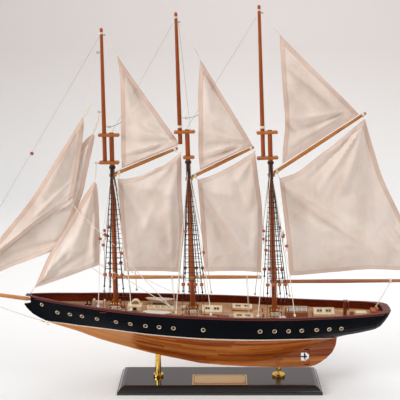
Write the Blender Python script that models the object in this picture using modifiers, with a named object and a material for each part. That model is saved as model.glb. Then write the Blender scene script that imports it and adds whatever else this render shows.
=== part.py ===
"""Display model of a three-masted gaff schooner on its stand.

Frame: origin at the middle of the stand's underside, +X towards the stern, +Y to the ship's
port side, +Z up, metres. Every piece is a separate closed solid: the stand, the hull in two
glued halves, the deck and its fittings, the masts and spars, the sails and the shrouds. The
rudder, the propeller, the steering wheel and the three boom-and-gaff rigs are built on the
axes that they turn about.
"""

import math

import bmesh
import bpy
from mathutils import Matrix, Vector

MM = 0.001
GAP = 0.3 * MM  # between pieces that touch

# Stand
BOARD_LENGTH, BOARD_WIDTH, BOARD_HEIGHT = 339 * MM, 96 * MM, 13 * MM
BOARD_EDGE = ((0.0, 0.0), (0.0, 4.2), (1.6, 4.8), (1.6, 5.8), (2.4, 6.6), (5.0, 10.0), (11.0, 13.0))
POST_X = {"fore": -104 * MM, "aft": 100 * MM}
PLATE_SIZE = (92 * MM, 40 * MM, 1 * MM)

# Hull lines, in millimetres: stations along X with the height or half breadth there
BOW_X, STERN_X = -314, 281.5
SHEER = ((-325, 157.6), (-300, 155.3), (-255, 151.1), (-195, 146.6), (-120, 141.8), (-45, 138.4),
         (45, 135.2), (120, 133.0), (195, 132.7), (240, 133.3), (284, 134.2))
RAIL_BREADTH = ((-325, 1.5), (-316, 5.2), (-300, 11.4), (-270, 21.2), (-240, 28.1), (-195, 39.1),
                (-150, 46.8), (-105, 52.1), (-45, 55.4), (0, 56.3), (45, 55.5), (90, 52.2),
                (150, 45.7), (210, 38.6), (240, 34.0), (258, 30.2), (270, 26.4), (278, 21.0),
                (281.5, 15.5))
KEEL = ((-325, 143), (-316.8, 130.2), (-307, 122.3), (-287, 111.7), (-235, 93.9), (-201, 80.6),
        (-168, 70.7), (-118, 56.3), (-79, 47.3), (-33, 39.6), (20, 36.5), (60, 39.5), (100, 49),
        (150, 68), (197, 84.4), (224, 90), (250, 96), (262, 100), (272, 111), (281.5, 127))
COLOUR_LINE = ((-287, 112.4), (-235, 106.8), (-170, 105.4), (-114, 103.6), (-32, 100.6), (33, 99),
               (114, 96), (160, 91.6), (185, 87.6), (197, 85.2))
SECTION_HEIGHTS = (0.0, 0.1, 0.2, 0.35, 0.5, 0.65, 0.8, 1.0)
SECTIONS = (
    (-320, (0.0, 0.10, 0.20, 0.34, 0.49, 0.64, 0.79, 1.0)),
    (-220, (0.0, 0.08, 0.18, 0.36, 0.54, 0.71, 0.86, 1.0)),
    (-110, (0.0, 0.07, 0.20, 0.46, 0.71, 0.88, 0.97, 1.0)),
    (30, (0.0, 0.08, 0.24, 0.56, 0.81, 0.95, 1.0, 1.0)),
    (130, (0.0, 0.16, 0.34, 0.62, 0.83, 0.94, 0.99, 1.0)),
    (210, (0.0, 0.36, 0.54, 0.73, 0.86, 0.94, 0.98, 1.0)),
    (290, (0.0, 0.44, 0.60, 0.76, 0.87, 0.94, 0.98, 1.0)),
)
KEEL_HALF = 2.2
WALL = 2.2  # bulwark thickness
BULWARK = 11.0  # deck to rail
DECK_THICKNESS = 1.2
CAP_RAIL = (1.0, 1.5)  # overhang, thickness
RAIL_REACH = ((-325, 3.2), (236, 3.2), (250, 4.0), (266, 8.0), (283, 12.5))  # inboard, wide at the stern

# Keel fin, rudder and propeller, in millimetres
FIN_OUTLINE = ((-118, 66), (-79, 47.5), (-33, 37.4), (10, 33.4), (51, 31), (99, 30), (150, 30.5),
               (150, 44), (145.5, 40), (137, 40), (137, 56), (146, 56), (150, 52.5), (150, 74),
               (60, 60), (-30, 60))
FIN_HALF = 2.2
RUDDER_OUTLINE = ((153, 31), (161, 33.4), (170, 38.3), (180.5, 46.5), (189.6, 56.8), (195, 68.9),
                  (196.6, 82.6), (180, 77.3), (153, 67.4))
RUDDER_AXIS_X = 153.0
RUDDER_HALF = 2.1
PROPELLER_X, PROPELLER_Z, PROPELLER_RADIUS = 143.6, 48.0, 6.6
SHAFT_RADIUS, SHAFT_HOLE = 1.0, 1.12

# Masts: foot on the centreline, rake (the heads lean towards the bow), heights of the heads
MASTS = {
    "fore": {"foot": (-173.1, 134.4), "rake": 0.0, "cap": 425.5, "trestle": 381.0, "truck": 593.0,
             "heel": 384.0, "trestle_ends": (-21.0, 11.6)},
    "main": {"foot": (-44.4, 126.9), "rake": 1.5, "cap": 430.5, "trestle": 389.5, "truck": 617.0,
             "heel": 411.0, "trestle_ends": (-8.0, 10.6)},
    "mizzen": {"foot": (91.7, 122.3), "rake": 2.3, "cap": 429.5, "trestle": 388.5, "truck": 628.0,
               "heel": 391.5, "trestle_ends": (-22.0, 12.6)},
}
MAST_RADIUS, MASTHEAD_RADIUS = 4.25, 3.7
TOPMAST_RADIUS, TRUCK_RADIUS, TOPMAST_AHEAD = 3.4, 2.4, 11.5
CAP_ENDS = (-21.2, 12.8)
BOARD_HALF_WIDTH, BOARD_THICKNESS = 6.5, 5.0
JAW_BORE, JAW_OUTER, JAW_HEIGHT = 4.75, 6.8, 4.0

# Spars: jaw height on the mast, far end (x, z), radius at the middle and at the end
BOOMS = {"fore": (188.7, (-56.5, 188.7), 3.3, 2.5), "main": (188.7, (69.5, 188.7), 3.3, 2.5),
         "mizzen": (180.9, (348.0, 182.7), 3.4, 2.4)}
GAFFS = {"fore": (360.5, (-67.5, 404.5), 3.1, 2.3), "main": (354.5, (54.2, 406.2), 3.1, 2.3),
         "mizzen": (360.5, (231.2, 460.8), 3.2, 2.3)}
BOWSPRIT = {"heel": -292.0, "tip": -446.0, "z_at_stem": 151.3, "slope": 0.1417, "radius": 3.5,
            "tip_radius": 2.6, "heel_radius": 2.4}

# Sails: corners and the edge points between them, (x, z) in millimetres, round the outline
SAIL_THICKNESS = 1.0
GAFF_SAILS = {
    "fore": ((-164.5, 354), (-147, 355), (-129, 359.5), (-113, 366.8), (-102, 372.3), (-89.5, 377),
             (-80, 384.1), (-71.4, 390.4), (-62.5, 397.5), (-61.8, 372), (-62, 335), (-58.5, 272),
             (-62, 232), (-66, 201), (-90, 203), (-158, 202.5)),
    "main": ((-36, 352.5), (-20, 357.5), (-5, 363.4), (9, 370.7), (22, 377.5), (38, 387.6), (56, 399.5),
             (62, 355), (68, 310), (70, 262), (69, 230), (68, 201), (40, 203), (-26, 201.5)),
    "mizzen": ((95.8, 355), (112, 360), (128, 367.3), (154, 388.5), (186, 413.4), (214, 438.2), (230, 451),
               (246, 402), (264, 352), (294, 293), (316, 246), (333.5, 201), (298, 201), (241, 202),
               (178, 196.5), (115.5, 191)),
}
TOPSAILS = {
    "fore": ((-161, 551), (-130, 505), (-98, 459), (-69, 417.5), (-68, 409), (-88, 400.6),
             (-110, 391.5), (-135, 381.1), (-157.5, 371.8), (-158.3, 405), (-157.5, 433), (-156.8, 512)),
    "main": ((-31, 545), (-5, 503), (22, 459), (49.5, 413.5), (50.5, 409), (30, 399),
             (8, 388.2), (-14, 377.4), (-32, 368.6), (-34.5, 400), (-34, 440), (-34.2, 497)),
    "mizzen": ((92.5, 583), (130, 546), (172, 506), (213.5, 465.5), (219.5, 458), (190, 438.4),
               (160, 418.4), (128, 397), (100.5, 378.6), (101, 405), (103.5, 433), (102.8, 457), (98, 508)),
}
HEADSAILS = {
    "flying_jib": (-5.0, ((-216.5, 455), (-217, 430), (-228, 365), (-239, 314), (-262, 303),
                          (-297, 279), (-361, 227), (-392, 201), (-430, 171), (-362, 253), (-306, 320),
                          (-262, 386))),
    "jib": (1.5, ((-202.5, 426.5), (-201, 418), (-215, 360), (-224, 325), (-248, 268), (-258, 242),
                  (-277, 233), (-318, 217), (-363, 198), (-413, 169), (-362, 235), (-300, 312),
                  (-226, 405))),
    "staysail": (-5.0, ((-200.5, 351), (-197, 336), (-196, 270), (-197.5, 211.5), (-245, 193.5),
                       (-306, 172), (-278, 232), (-252, 272), (-219, 327))),
}

# Shrouds
SHROUD_RADIUS = 0.5
SHROUD_FEET = (-16.0, -4.5, 8.0, 20.5)
SHROUD_FOOT_RISE, SHROUD_HEAD_DROP = 2.6, 9.0

PALETTE = {
    "stand_black": ((0.055, 0.055, 0.06), 0.25, 0.0),
    "brass": ((0.80, 0.58, 0.22), 0.25, 1.0),
    "hull_wood": ((0.36, 0.13, 0.04), 0.3, 0.0),
    "hull_black": ((0.006, 0.009, 0.015), 0.2, 0.0),
    "bulwark_wood": ((0.13, 0.035, 0.015), 0.4, 0.0),
    "deck_wood": ((0.55, 0.34, 0.19), 0.5, 0.0),
    "mast_wood": ((0.27, 0.085, 0.03), 0.35, 0.0),
    "spar_wood": ((0.55, 0.28, 0.11), 0.35, 0.0),
    "sailcloth": ((0.78, 0.69, 0.60), 0.9, 0.0),
    "black_cord": ((0.02, 0.02, 0.02), 0.8, 0.0),
    "cream_paint": ((0.78, 0.66, 0.47), 0.45, 0.0),
    "white_paint": ((0.85, 0.83, 0.78), 0.4, 0.0),
    "cabin_wood": ((0.40, 0.18, 0.08), 0.4, 0.0),
    "dark_metal": ((0.03, 0.03, 0.03), 0.4, 1.0),
}


# ---------------------------------------------------------------- helpers

def collection(name):
    made = bpy.data.collections.new(name)
    bpy.context.scene.collection.children.link(made)
    return made


def make_materials():
    for name, (colour, roughness, metallic) in PALETTE.items():
        material = bpy.data.materials.new(name)
        material.use_nodes = True
        shader = material.node_tree.nodes["Principled BSDF"]
        shader.inputs["Base Color"].default_value = (*colour, 1.0)
        shader.inputs["Roughness"].default_value = roughness
        shader.inputs["Metallic"].default_value = metallic
        material.diffuse_color = (*colour, 1.0)


def place(obj, name, material, group):
    """Names an object, gives it its material and moves it into one collection."""
    obj.name = name
    obj.data.name = name
    obj.data.materials.clear()
    obj.data.materials.append(bpy.data.materials[material])
    for held in list(obj.users_collection):
        held.objects.unlink(obj)
    group.objects.link(obj)
    return obj


def as_tool(obj):
    """Puts an object away among the cutters that Boolean modifiers use."""
    for held in list(obj.users_collection):
        held.objects.unlink(obj)
    TOOLS.objects.link(obj)
    obj.hide_render = True
    obj.display_type = "WIRE"
    return obj


def boolean(obj, tool, operation):
    as_tool(tool)
    modifier = obj.modifiers.new(operation.lower(), "BOOLEAN")
    modifier.operation = operation
    modifier.solver = "EXACT"
    modifier.object = tool
    return obj


def union(obj, *tools):
    for tool in tools:
        boolean(obj, tool, "UNION")
    return obj


def cut(obj, *tools):
    for tool in tools:
        boolean(obj, tool, "DIFFERENCE")
    return obj


def smooth(obj, angle=40):
    obj.data.shade_smooth()
    obj.data.set_sharp_from_angle(angle=math.radians(angle))
    return obj


def mesh_object(name, verts, faces):
    """A mesh from points in millimetres."""
    mesh = bpy.data.meshes.new(name)
    mesh.from_pydata([Vector(v) * MM for v in verts], [], faces)
    bm = bmesh.new()
    bm.from_mesh(mesh)
    bmesh.ops.recalc_face_normals(bm, faces=bm.faces)
    bm.to_mesh(mesh)
    bm.free()
    obj = bpy.data.objects.new(name, mesh)
    bpy.context.scene.collection.objects.link(obj)
    return obj


def loft(name, rings):
    """A closed solid through rings of equal length, each an outline in millimetres."""
    count = len(rings[0])
    verts = [point for ring in rings for point in ring]
    faces = []
    for row in range(len(rings) - 1):
        for i in range(count):
            j = (i + 1) % count
            a, b = row * count, (row + 1) * count
            faces.append((a + i, a + j, b + j, b + i))
    faces.append(tuple(reversed(range(count))))
    last = (len(rings) - 1) * count
    faces.append(tuple(range(last, last + count)))
    return mesh_object(name, verts, faces)


def box(name, size, centre, bevel=0.0, pitch=0.0):
    """A box of a size in millimetres, turned by pitch about Y."""
    bpy.ops.mesh.primitive_cube_add(size=1.0, location=Vector(centre) * MM)
    obj = bpy.context.object
    obj.name = name
    obj.scale = Vector(size) * MM
    bpy.ops.object.transform_apply(location=False, rotation=False, scale=True)
    obj.rotation_euler.y = pitch
    if bevel:
        modifier = obj.modifiers.new("rounded", "BEVEL")
        modifier.width = bevel * MM
        modifier.segments = 2
    return obj


def rod(name, start, end, radius, end_radius=None, sides=12):
    """A round bar between two points in millimetres, tapered when end_radius is given."""
    start, end = Vector(start) * MM, Vector(end) * MM
    along = end - start
    bpy.ops.mesh.primitive_cone_add(vertices=sides, radius1=radius * MM,
                                    radius2=(end_radius or radius) * MM, depth=along.length,
                                    location=(start + end) / 2)
    obj = bpy.context.object
    obj.name = name
    obj.rotation_euler = along.to_track_quat("Z", "Y").to_euler()
    return obj


def turned(name, profile, location, axis=(0, 0, 1), steps=20):
    """A turned solid: profile is (radius, height) in millimetres, from the top down."""
    mesh = bpy.data.meshes.new(name)
    points = [(radius * MM, 0.0, height * MM) for radius, height in profile]
    mesh.from_pydata(points, [(i, i + 1) for i in range(len(points) - 1)], [])
    obj = bpy.data.objects.new(name, mesh)
    bpy.context.scene.collection.objects.link(obj)
    screw = obj.modifiers.new("turned", "SCREW")
    screw.steps = steps
    screw.render_steps = steps
    screw.use_merge_vertices = True
    screw.merge_threshold = 0.00001
    obj.location = Vector(location) * MM
    obj.rotation_euler = Vector(axis).to_track_quat("Z", "Y").to_euler()
    return obj


def curve_at(points, x):
    """The height of a smooth curve through (x, height) points, with no overshoot between them."""
    if x <= points[0][0]:
        return points[0][1]
    if x >= points[-1][0]:
        return points[-1][1]
    i = max(k for k in range(len(points) - 1) if points[k][0] <= x)
    steps = [(points[k + 1][1] - points[k][1]) / (points[k + 1][0] - points[k][0])
             for k in range(len(points) - 1)]

    def slope(k):
        if k == 0:
            return steps[0]
        if k == len(points) - 1:
            return steps[-1]
        before, after = steps[k - 1], steps[k]
        return 0.0 if before * after <= 0 else 2 * before * after / (before + after)

    span = points[i + 1][0] - points[i][0]
    t = (x - points[i][0]) / span
    return ((2 * t**3 - 3 * t**2 + 1) * points[i][1] + (t**3 - 2 * t**2 + t) * span * slope(i)
            + (3 * t**2 - 2 * t**3) * points[i + 1][1] + (t**3 - t**2) * span * slope(i + 1))


def stations(start, end, count):
    """Stations along X, closer together towards both ends."""
    return [start + (end - start) * (1 - math.cos(math.pi * i / (count - 1))) / 2
            for i in range(count)]


DECK_STATIONS = stations(-306, 275.5, 26)


# ---------------------------------------------------------------- hull form

def section_share(x, level):
    """Half breadth at a height share of a section, as a share of its rail breadth."""
    shares = [curve_at(tuple(zip(SECTION_HEIGHTS, shape)), level) for _, shape in SECTIONS]
    return curve_at(tuple((SECTIONS[i][0], shares[i]) for i in range(len(SECTIONS))), x)


def half_breadth(x, z):
    """The hull's outer half breadth at a station and height, in millimetres."""
    keel, sheer = curve_at(KEEL, x), curve_at(SHEER, x)
    level = min(1.0, max(0.0, (z - keel) / (sheer - keel)))
    return KEEL_HALF + (curve_at(RAIL_BREADTH, x) - KEEL_HALF) * section_share(x, level)


def deck_z(x):
    return curve_at(SHEER, x) - BULWARK


def deck_pitch(x):
    """The deck's slope at a station, as a turn about Y."""
    return -math.atan2(deck_z(x + 8) - deck_z(x - 8), 16)


def well_half(x, z):
    """Inner half breadth of the bulwarks at a height, straight from the deck bed to the rail."""
    bed, rail = deck_z(x) - DECK_THICKNESS - GAP / MM, curve_at(SHEER, x)
    low, high = half_breadth(x, bed), half_breadth(x, rail)
    return max(2.9, low + (high - low) * (z - bed) / (rail - bed) - WALL)


def hull_ring(x, low, high, levels):
    ring = []
    for i in range(levels):
        z = high + (low - high) * i / (levels - 1)
        ring.append((x, half_breadth(x, z), z))
    return ring + [(px, -py, pz) for px, py, pz in reversed(ring)]


def lower_hull():
    """The varnished bottom: hull form below the colour line, with the keel fin and its aperture."""
    rings = [hull_ring(x, curve_at(KEEL, x), curve_at(COLOUR_LINE, x) - GAP / MM, 9)
             for x in stations(-284, 196.5, 34)]
    hull = loft("lower_hull", rings)
    fin = outline_plate("fin", FIN_OUTLINE, FIN_HALF)
    union(hull, fin)
    bore = rod("shaft_bore", (120, 0, PROPELLER_Z), (141, 0, PROPELLER_Z), SHAFT_HOLE, sides=16)
    cut(hull, bore)
    return smooth(place(hull, "lower_hull", "hull_wood", MODEL))


def outline_plate(name, outline, half):
    """A flat plate in the X-Z plane from a 2D outline in millimetres, centred on Y = 0."""
    count = len(outline)
    verts = [(x, -half, z) for x, z in outline] + [(x, half, z) for x, z in outline]
    faces = [tuple(range(count)), tuple(reversed(range(count, 2 * count)))]
    faces += [(i, (i + 1) % count, (i + 1) % count + count, i + count) for i in range(count)]
    return mesh_object(name, verts, faces)


def upper_hull():
    """The black topsides and bulwarks round the deck well, with the knee under the bowsprit."""
    rings = []
    for x in stations(BOW_X, STERN_X, 40):
        low = max(curve_at(KEEL, x), curve_at(COLOUR_LINE, x) if -287 < x < 197 else 0)
        rings.append(hull_ring(x, low, curve_at(SHEER, x), 7))
    hull = loft("upper_hull", rings)
    knee = outline_plate("knee", ((-325.4, 142.5), (-322, 136.6), (-317, 130.4), (-307.2, 122.6),
                                  (-300, 124), (-300, 143.5), (-310, 144.6)), 2.0)
    union(hull, knee)
    well = []
    for x in [BOW_X - 14] + DECK_STATIONS + [277.0]:
        floor, top = deck_z(x) - DECK_THICKNESS - GAP / MM, curve_at(SHEER, x)
        low, high = well_half(x, floor), well_half(x, top)
        well.append([(x, low, floor), (x, high, top), (x, high, top + 6),
                     (x, -high, top + 6), (x, -high, top), (x, -low, floor)])
    cut(hull, loft("well", well))
    return smooth(place(hull, "upper_hull", "hull_black", MODEL), 50)


def deck():
    rings = []
    for x in DECK_STATIONS:
        top = deck_z(x)
        wide, low = well_half(x, top) - GAP / MM, well_half(x, top - DECK_THICKNESS) - GAP / MM
        rings.append([(x, wide, top), (x, -wide, top), (x, -low, top - DECK_THICKNESS),
                      (x, low, top - DECK_THICKNESS)])
    plate = loft("deck", rings)
    for name in MASTS:
        x, z = MASTS[name]["foot"]
        cut(plate, rod("mast_hole", (x, 0, z - 6), (x, 0, z + 6), MAST_RADIUS + 0.4, sides=24))
    return place(plate, "deck", "deck_wood", MODEL)


def cap_rail(side):
    """One side's cap rail, swept along the bulwark's top from the bow to the stern."""
    overhang, thickness = CAP_RAIL
    plan = [(x, curve_at(RAIL_BREADTH, x)) for x in stations(-322, 281.5, 34)] + [(282.6, 0.4)]
    rings = []
    for i, (x, y) in enumerate(plan):
        before, after = plan[max(i - 1, 0)], plan[min(i + 1, len(plan) - 1)]
        along = Vector((after[0] - before[0], after[1] - before[1])).normalized()
        outward = Vector((-along.y, along.x))
        low = curve_at(SHEER, x) + GAP / MM
        inboard = curve_at(RAIL_REACH, x)
        outer = Vector((x, y)) + outward * overhang
        inner = Vector((x, y)) - outward * inboard
        if i == len(plan) - 1:
            outer, inner = Vector((x + overhang, 0.4)), Vector((x - inboard, 0.4))
        corners = [(p.x, max(p.y, 0.2) * side) for p in (outer, inner)]
        rings.append([(*corners[0], low), (*corners[0], low + thickness),
                      (*corners[1], low + thickness), (*corners[1], low)])
    name = "cap_rail_port" if side > 0 else "cap_rail_starboard"
    return place(loft(name, rings), name, "bulwark_wood", MODEL)


def rudder():
    """The rudder blade with its rounded stock, turned about a vertical axis."""
    blade = outline_plate("rudder", [(x - RUDDER_AXIS_X, z) for x, z in RUDDER_OUTLINE], RUDDER_HALF)
    blade.location.x = RUDDER_AXIS_X * MM
    stock = rod("stock", (RUDDER_AXIS_X, 0, 31), (RUDDER_AXIS_X, 0, 67.2), RUDDER_HALF + 0.1, sides=14)
    union(blade, stock)
    return place(blade, "rudder", "hull_wood", MODEL)


def propeller():
    """A three-bladed propeller on its shaft, turned about X."""
    hub = turned("propeller", ((0, 4.2), (1.0, 3.8), (1.7, 2.4), (1.9, 0.5), (1.7, -1.8),
                               (SHAFT_RADIUS, -1.8), (SHAFT_RADIUS, -19), (0, -19)),
                 (PROPELLER_X, 0, PROPELLER_Z), axis=(1, 0, 0), steps=16)
    for i in range(3):
        angle = 2 * math.pi * i / 3 + math.pi / 2
        radial = Vector((0, math.cos(angle), math.sin(angle)))
        centre = Vector((PROPELLER_X, 0, PROPELLER_Z)) + radial * (PROPELLER_RADIUS * 0.55)
        blade = rod("blade", (0, 0, -0.35), (0, 0, 0.35), 2.9, sides=14)
        blade.scale = (0.72, 1.0, 1.0)
        blade.location = centre * MM
        turn = Matrix.Rotation(angle - math.pi / 2, 4, "X")
        pitch = Matrix.Rotation(math.radians(32), 4, "Z")
        face = Matrix.Rotation(math.radians(90), 4, "Y")
        blade.rotation_euler = (turn @ pitch @ face @ Matrix.Rotation(math.pi / 2, 4, "Z")).to_euler()
        union(hub, blade)
    return place(hub, "propeller", "dark_metal", MODEL)


# ---------------------------------------------------------------- stand

def stand_board():
    rings = []
    for inset, z in BOARD_EDGE:
        x, y = BOARD_LENGTH / 2 / MM - inset, BOARD_WIDTH / 2 / MM - inset
        rings.append([(-x, -y, z), (x, -y, z), (x, y, z), (-x, y, z)])
    return place(loft("stand_board", rings), "stand_board", "stand_black", MODEL)


def stand_post(name, collar, post_radius, top, slot_floor):
    """A turned brass post, slotted across the top where it holds the keel."""
    base = BOARD_HEIGHT / MM + GAP / MM
    wide, rim, shoulder = collar
    profile = ((0, top), (post_radius * 0.7, top), (post_radius, top - 1.4),
               (post_radius, base + shoulder), (wide * 0.55, base + rim + 0.6), (wide, base + rim),
               (wide, base + 0.6), (wide * 0.85, base), (0, base))
    x = POST_X[name] / MM
    post = turned("stand_post_" + name, [(r, z - base) for r, z in profile], (x, 0, base))
    if slot_floor:
        low, high = KEEL_HALF + 0.5, KEEL_HALF + 3.1
        slot = loft("slot", [[(side, -low, 0), (side, low, 0), (side, high, 7), (side, -high, 7)]
                             for side in (-12, 12)])
        slot.location = Vector((x, 0, slot_floor)) * MM
        slot.rotation_euler.y = -math.atan2(curve_at(KEEL, x + 8) - curve_at(KEEL, x - 8), 16)
        cut(post, slot)
    return smooth(place(post, "stand_post_" + name, "brass", MODEL))


def stand():
    stand_board()
    keel_fore = curve_at(KEEL, POST_X["fore"] / MM)
    stand_post("fore", (8.6, 4.0, 5.0), 4.8, keel_fore + 2.6, keel_fore - 0.6)
    stand_post("aft", (11.0, 3.6, 9.6), 3.9, 29.6, None)
    x, y, z = (v / MM for v in PLATE_SIZE)
    top = BOARD_HEIGHT / MM + GAP / MM
    plate = box("name_plate", (x, y, z), (0, -36.4 + y / 2, top + z / 2), bevel=0.3)
    place(plate, "name_plate", "brass", MODEL)


# ---------------------------------------------------------------- masts and spars

def mast_point(name, z, aside=0.0):
    """A point on a lower mast's axis at a height, or that far ahead (-) or astern of it."""
    mast = MASTS[name]
    x, foot = mast["foot"]
    return (x - math.tan(math.radians(mast["rake"])) * (z - foot) + aside, 0.0, z)


def mast_direction(name):
    rake = math.radians(MASTS[name]["rake"])
    return Vector((-math.sin(rake), 0, math.cos(rake)))


def head_board(name, part, ends, z, holes):
    """A rounded board across a masthead, with holes for the spars that pass it."""
    pitch = -math.radians(MASTS[name]["rake"])
    length = ends[1] - ends[0]
    centre = mast_point(name, z, (ends[0] + ends[1]) / 2)
    board = box(part, (length, 2 * BOARD_HALF_WIDTH, BOARD_THICKNESS), centre, pitch=pitch)
    edge = board.modifiers.new("rounded", "BEVEL")
    edge.width = 2.0 * MM
    edge.segments = 2
    for aside, radius in holes:
        low, high = mast_point(name, z - 8, aside), mast_point(name, z + 8, aside)
        cut(board, rod("hole", low, high, radius, sides=20))
    return place(board, part, "mast_wood", MODEL)


def mast(name):
    data = MASTS[name]
    foot_z = deck_z(data["foot"][0]) - DECK_THICKNESS + 0.4
    head_z = data["cap"] + BOARD_THICKNESS / 2 + 1.4
    lower = rod(name + "_lower_mast", mast_point(name, foot_z), mast_point(name, head_z),
                MAST_RADIUS, MASTHEAD_RADIUS, sides=18)
    smooth(place(lower, name + "_lower_mast", "mast_wood", MODEL))
    ahead = -TOPMAST_AHEAD
    top = turned(name + "_topmast", (
        (0, data["truck"] - data["heel"]), (TRUCK_RADIUS * 0.7, data["truck"] - data["heel"] - 0.5),
        (TRUCK_RADIUS, data["truck"] - data["heel"] - 2), (TOPMAST_RADIUS, 60), (TOPMAST_RADIUS, 0),
        (0, 0)), mast_point(name, data["heel"], ahead), axis=mast_direction(name), steps=16)
    smooth(place(top, name + "_topmast", "mast_wood", MODEL))
    head_board(name, name + "_mast_cap", CAP_ENDS, data["cap"],
               ((0, MASTHEAD_RADIUS + 0.5), (ahead, TOPMAST_RADIUS + 0.4)))
    head_board(name, name + "_trestle_board", data["trestle_ends"], data["trestle"],
               ((0, MAST_RADIUS),))


def spar(part, mast_name, jaw_z, end, radius, end_radius, material):
    """A boom or gaff: a tapered pole whose open jaws turn round the mast's axis."""
    centre = Vector(mast_point(mast_name, jaw_z))
    up = mast_direction(mast_name)
    jaw = rod(part, centre - up * JAW_HEIGHT / 2, centre + up * JAW_HEIGHT / 2, JAW_OUTER, sides=20)
    tip = Vector((end[0], 0, end[1]))
    along = (tip - centre).normalized()
    start = centre + along * (JAW_OUTER - 1.2)
    middle = start + along * (tip - start).length * 0.4
    union(jaw, rod("root", start, middle, radius * 0.85, radius, sides=12),
          rod("pole", middle - along * 0.02, tip, radius, end_radius, sides=12))
    bore = rod("bore", centre - up * 6, centre + up * 6, JAW_BORE, sides=20)
    mouth = box("mouth", (12, 2 * JAW_BORE - 0.6, 14), centre - Vector((8.4, 0, 0)))
    cut(jaw, bore, mouth)
    return smooth(place(jaw, part, material, MODEL))


def bowsprit():
    data = BOWSPRIT

    def at(x):
        return (x, 0, data["z_at_stem"] + (-322.5 - x) * data["slope"])

    spar_body = rod("bowsprit", at(-319), at(data["tip"]), data["radius"], data["tip_radius"], sides=14)
    union(spar_body, rod("heel", at(data["heel"]), at(-320), data["heel_radius"], sides=14))
    return smooth(place(spar_body, "bowsprit", "spar_wood", MODEL))


def sail(part, outline, y=0.0):
    """A thin sail as a flat filled outline, standing for the cloth."""
    obj = outline_plate(part, outline, SAIL_THICKNESS / 2)
    obj.location.y = y * MM
    return place(obj, part, "sailcloth", MODEL)


def shrouds(name, side):
    """One side's gang of shrouds, joined at the masthead and along the rail."""
    data = MASTS[name]
    top = data["trestle"] - SHROUD_HEAD_DROP
    x, _, z = mast_point(name, top)
    head = Vector((x, side * (MAST_RADIUS + 2.4), z))
    label = "%s_shrouds_%s" % (name, "port" if side > 0 else "starboard")
    feet = []
    for aside in SHROUD_FEET:
        fx = data["foot"][0] + aside
        fy = curve_at(RAIL_BREADTH, fx) - 0.6
        feet.append(Vector((fx, side * fy, curve_at(SHEER, fx) + SHROUD_FOOT_RISE)))
    gang = rod(label, head + Vector((0, 0, 3)), head - Vector((0, 0, 3)), 1.0, sides=8)
    legs = [rod("leg", head + Vector((0.15 * i, 0, -0.4 * i)), foot, SHROUD_RADIUS, sides=6)
            for i, foot in enumerate(feet)]
    bars = [rod("bar", feet[i] + (feet[i] - feet[i + 1]).normalized() * 0.8,
                feet[i + 1] + (feet[i + 1] - feet[i]).normalized() * 0.7, 0.62 + 0.06 * i, sides=7)
            for i in range(len(feet) - 1)]
    union(gang, *legs, *bars)
    return place(gang, label, "black_cord", MODEL)


# ---------------------------------------------------------------- deck fittings

def on_deck(x, y, rise):
    """A point above the deck plank, in millimetres."""
    return (x, y, deck_z(x) + GAP / MM + rise)


def gabled_house(part, x, y, size, eaves, ridge, material, windows=True):
    """A deck house or skylight with a pitched roof, its two windows sunk in each slope."""
    length, width = size
    half_l, half_w = length / 2, width / 2
    profile = ((-half_w, 0), (half_w, 0), (half_w + 0.8, eaves), (0, ridge), (-half_w - 0.8, eaves))
    rings = [[(px, py, pz) for py, pz in profile] for px in (-half_l, half_l)]
    house = loft(part, rings)
    house.location = Vector(on_deck(x, y, 0.35)) * MM
    house.rotation_euler.y = deck_pitch(x)
    slope = math.atan2(ridge - eaves, half_w + 0.8)
    if windows:
        turn = Matrix.Rotation(deck_pitch(x), 3, "Y")
        for way in (-1, 1):
            for along in (-0.22, 0.22):
                local = Vector((along * length, way * half_w * 0.52, (eaves + ridge) / 2 + 0.2))
                pane = box("pane", (length * 0.28, width * 0.26, 1.6),
                           Vector(house.location) / MM + turn @ local)
                pane.rotation_euler = (-way * slope, deck_pitch(x), 0)
                cut(house, pane)
    return place(house, part, material, MODEL)


def lifeboat(side):
    """A covered lifeboat keel-down on two chocks."""
    x0, y0, length, width, height = -102.0, side * 33.0, 50.0, 16.0, 9.0
    rings = []
    for t in [i / 10 for i in range(11)]:
        x = (t - 0.5) * length
        swell = math.sqrt(max(0.012, 1 - (2 * t - 1) ** 2)) ** 1.2
        half, sheer = width / 2 * swell, 1.4 * (2 * t - 1) ** 2
        rings.append([(x, half * math.cos(a), -height * 0.6 * swell * math.sin(a) + sheer)
                      for a in [math.pi * k / 6 for k in range(7)]]
                     + [(x, -half * 0.5, 1.9 * swell + sheer), (x, half * 0.5, 1.9 * swell + sheer)])
    name = "lifeboat_port" if side > 0 else "lifeboat_starboard"
    boat = loft(name, rings)
    keel_z = deck_z(x0) + 8.7
    boat.location = Vector((x0, y0, keel_z)) * MM
    boat.rotation_euler.y = deck_pitch(x0)
    for along in (-13, 13):
        foot = deck_z(x0 + along) + GAP / MM + 0.15
        top = keel_z - 3.2
        chock = box("chock", (2.4, 9, top - foot), (x0 + along, y0, (top + foot) / 2))
        union(boat, chock)
    return smooth(place(boat, name, "white_paint", MODEL), 35)


def windlass():
    x, y = -201.0, 0.0
    pitch = deck_pitch(x)
    bed = box("windlass", (22, 11, 2), on_deck(x, y, 1.4), pitch=pitch)
    cheeks = [box("cheek", (3.4, 10, 11), on_deck(x + way * 8.6, y, 7.2), pitch=pitch)
              for way in (-1, 1)]
    low, high = on_deck(x - 10.4, y, 8.0), on_deck(x + 10.4, y, 8.0)
    union(bed, *cheeks, rod("drum", low, high, 3.4, sides=14))
    return place(bed, "windlass", "cream_paint", MODEL)


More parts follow.
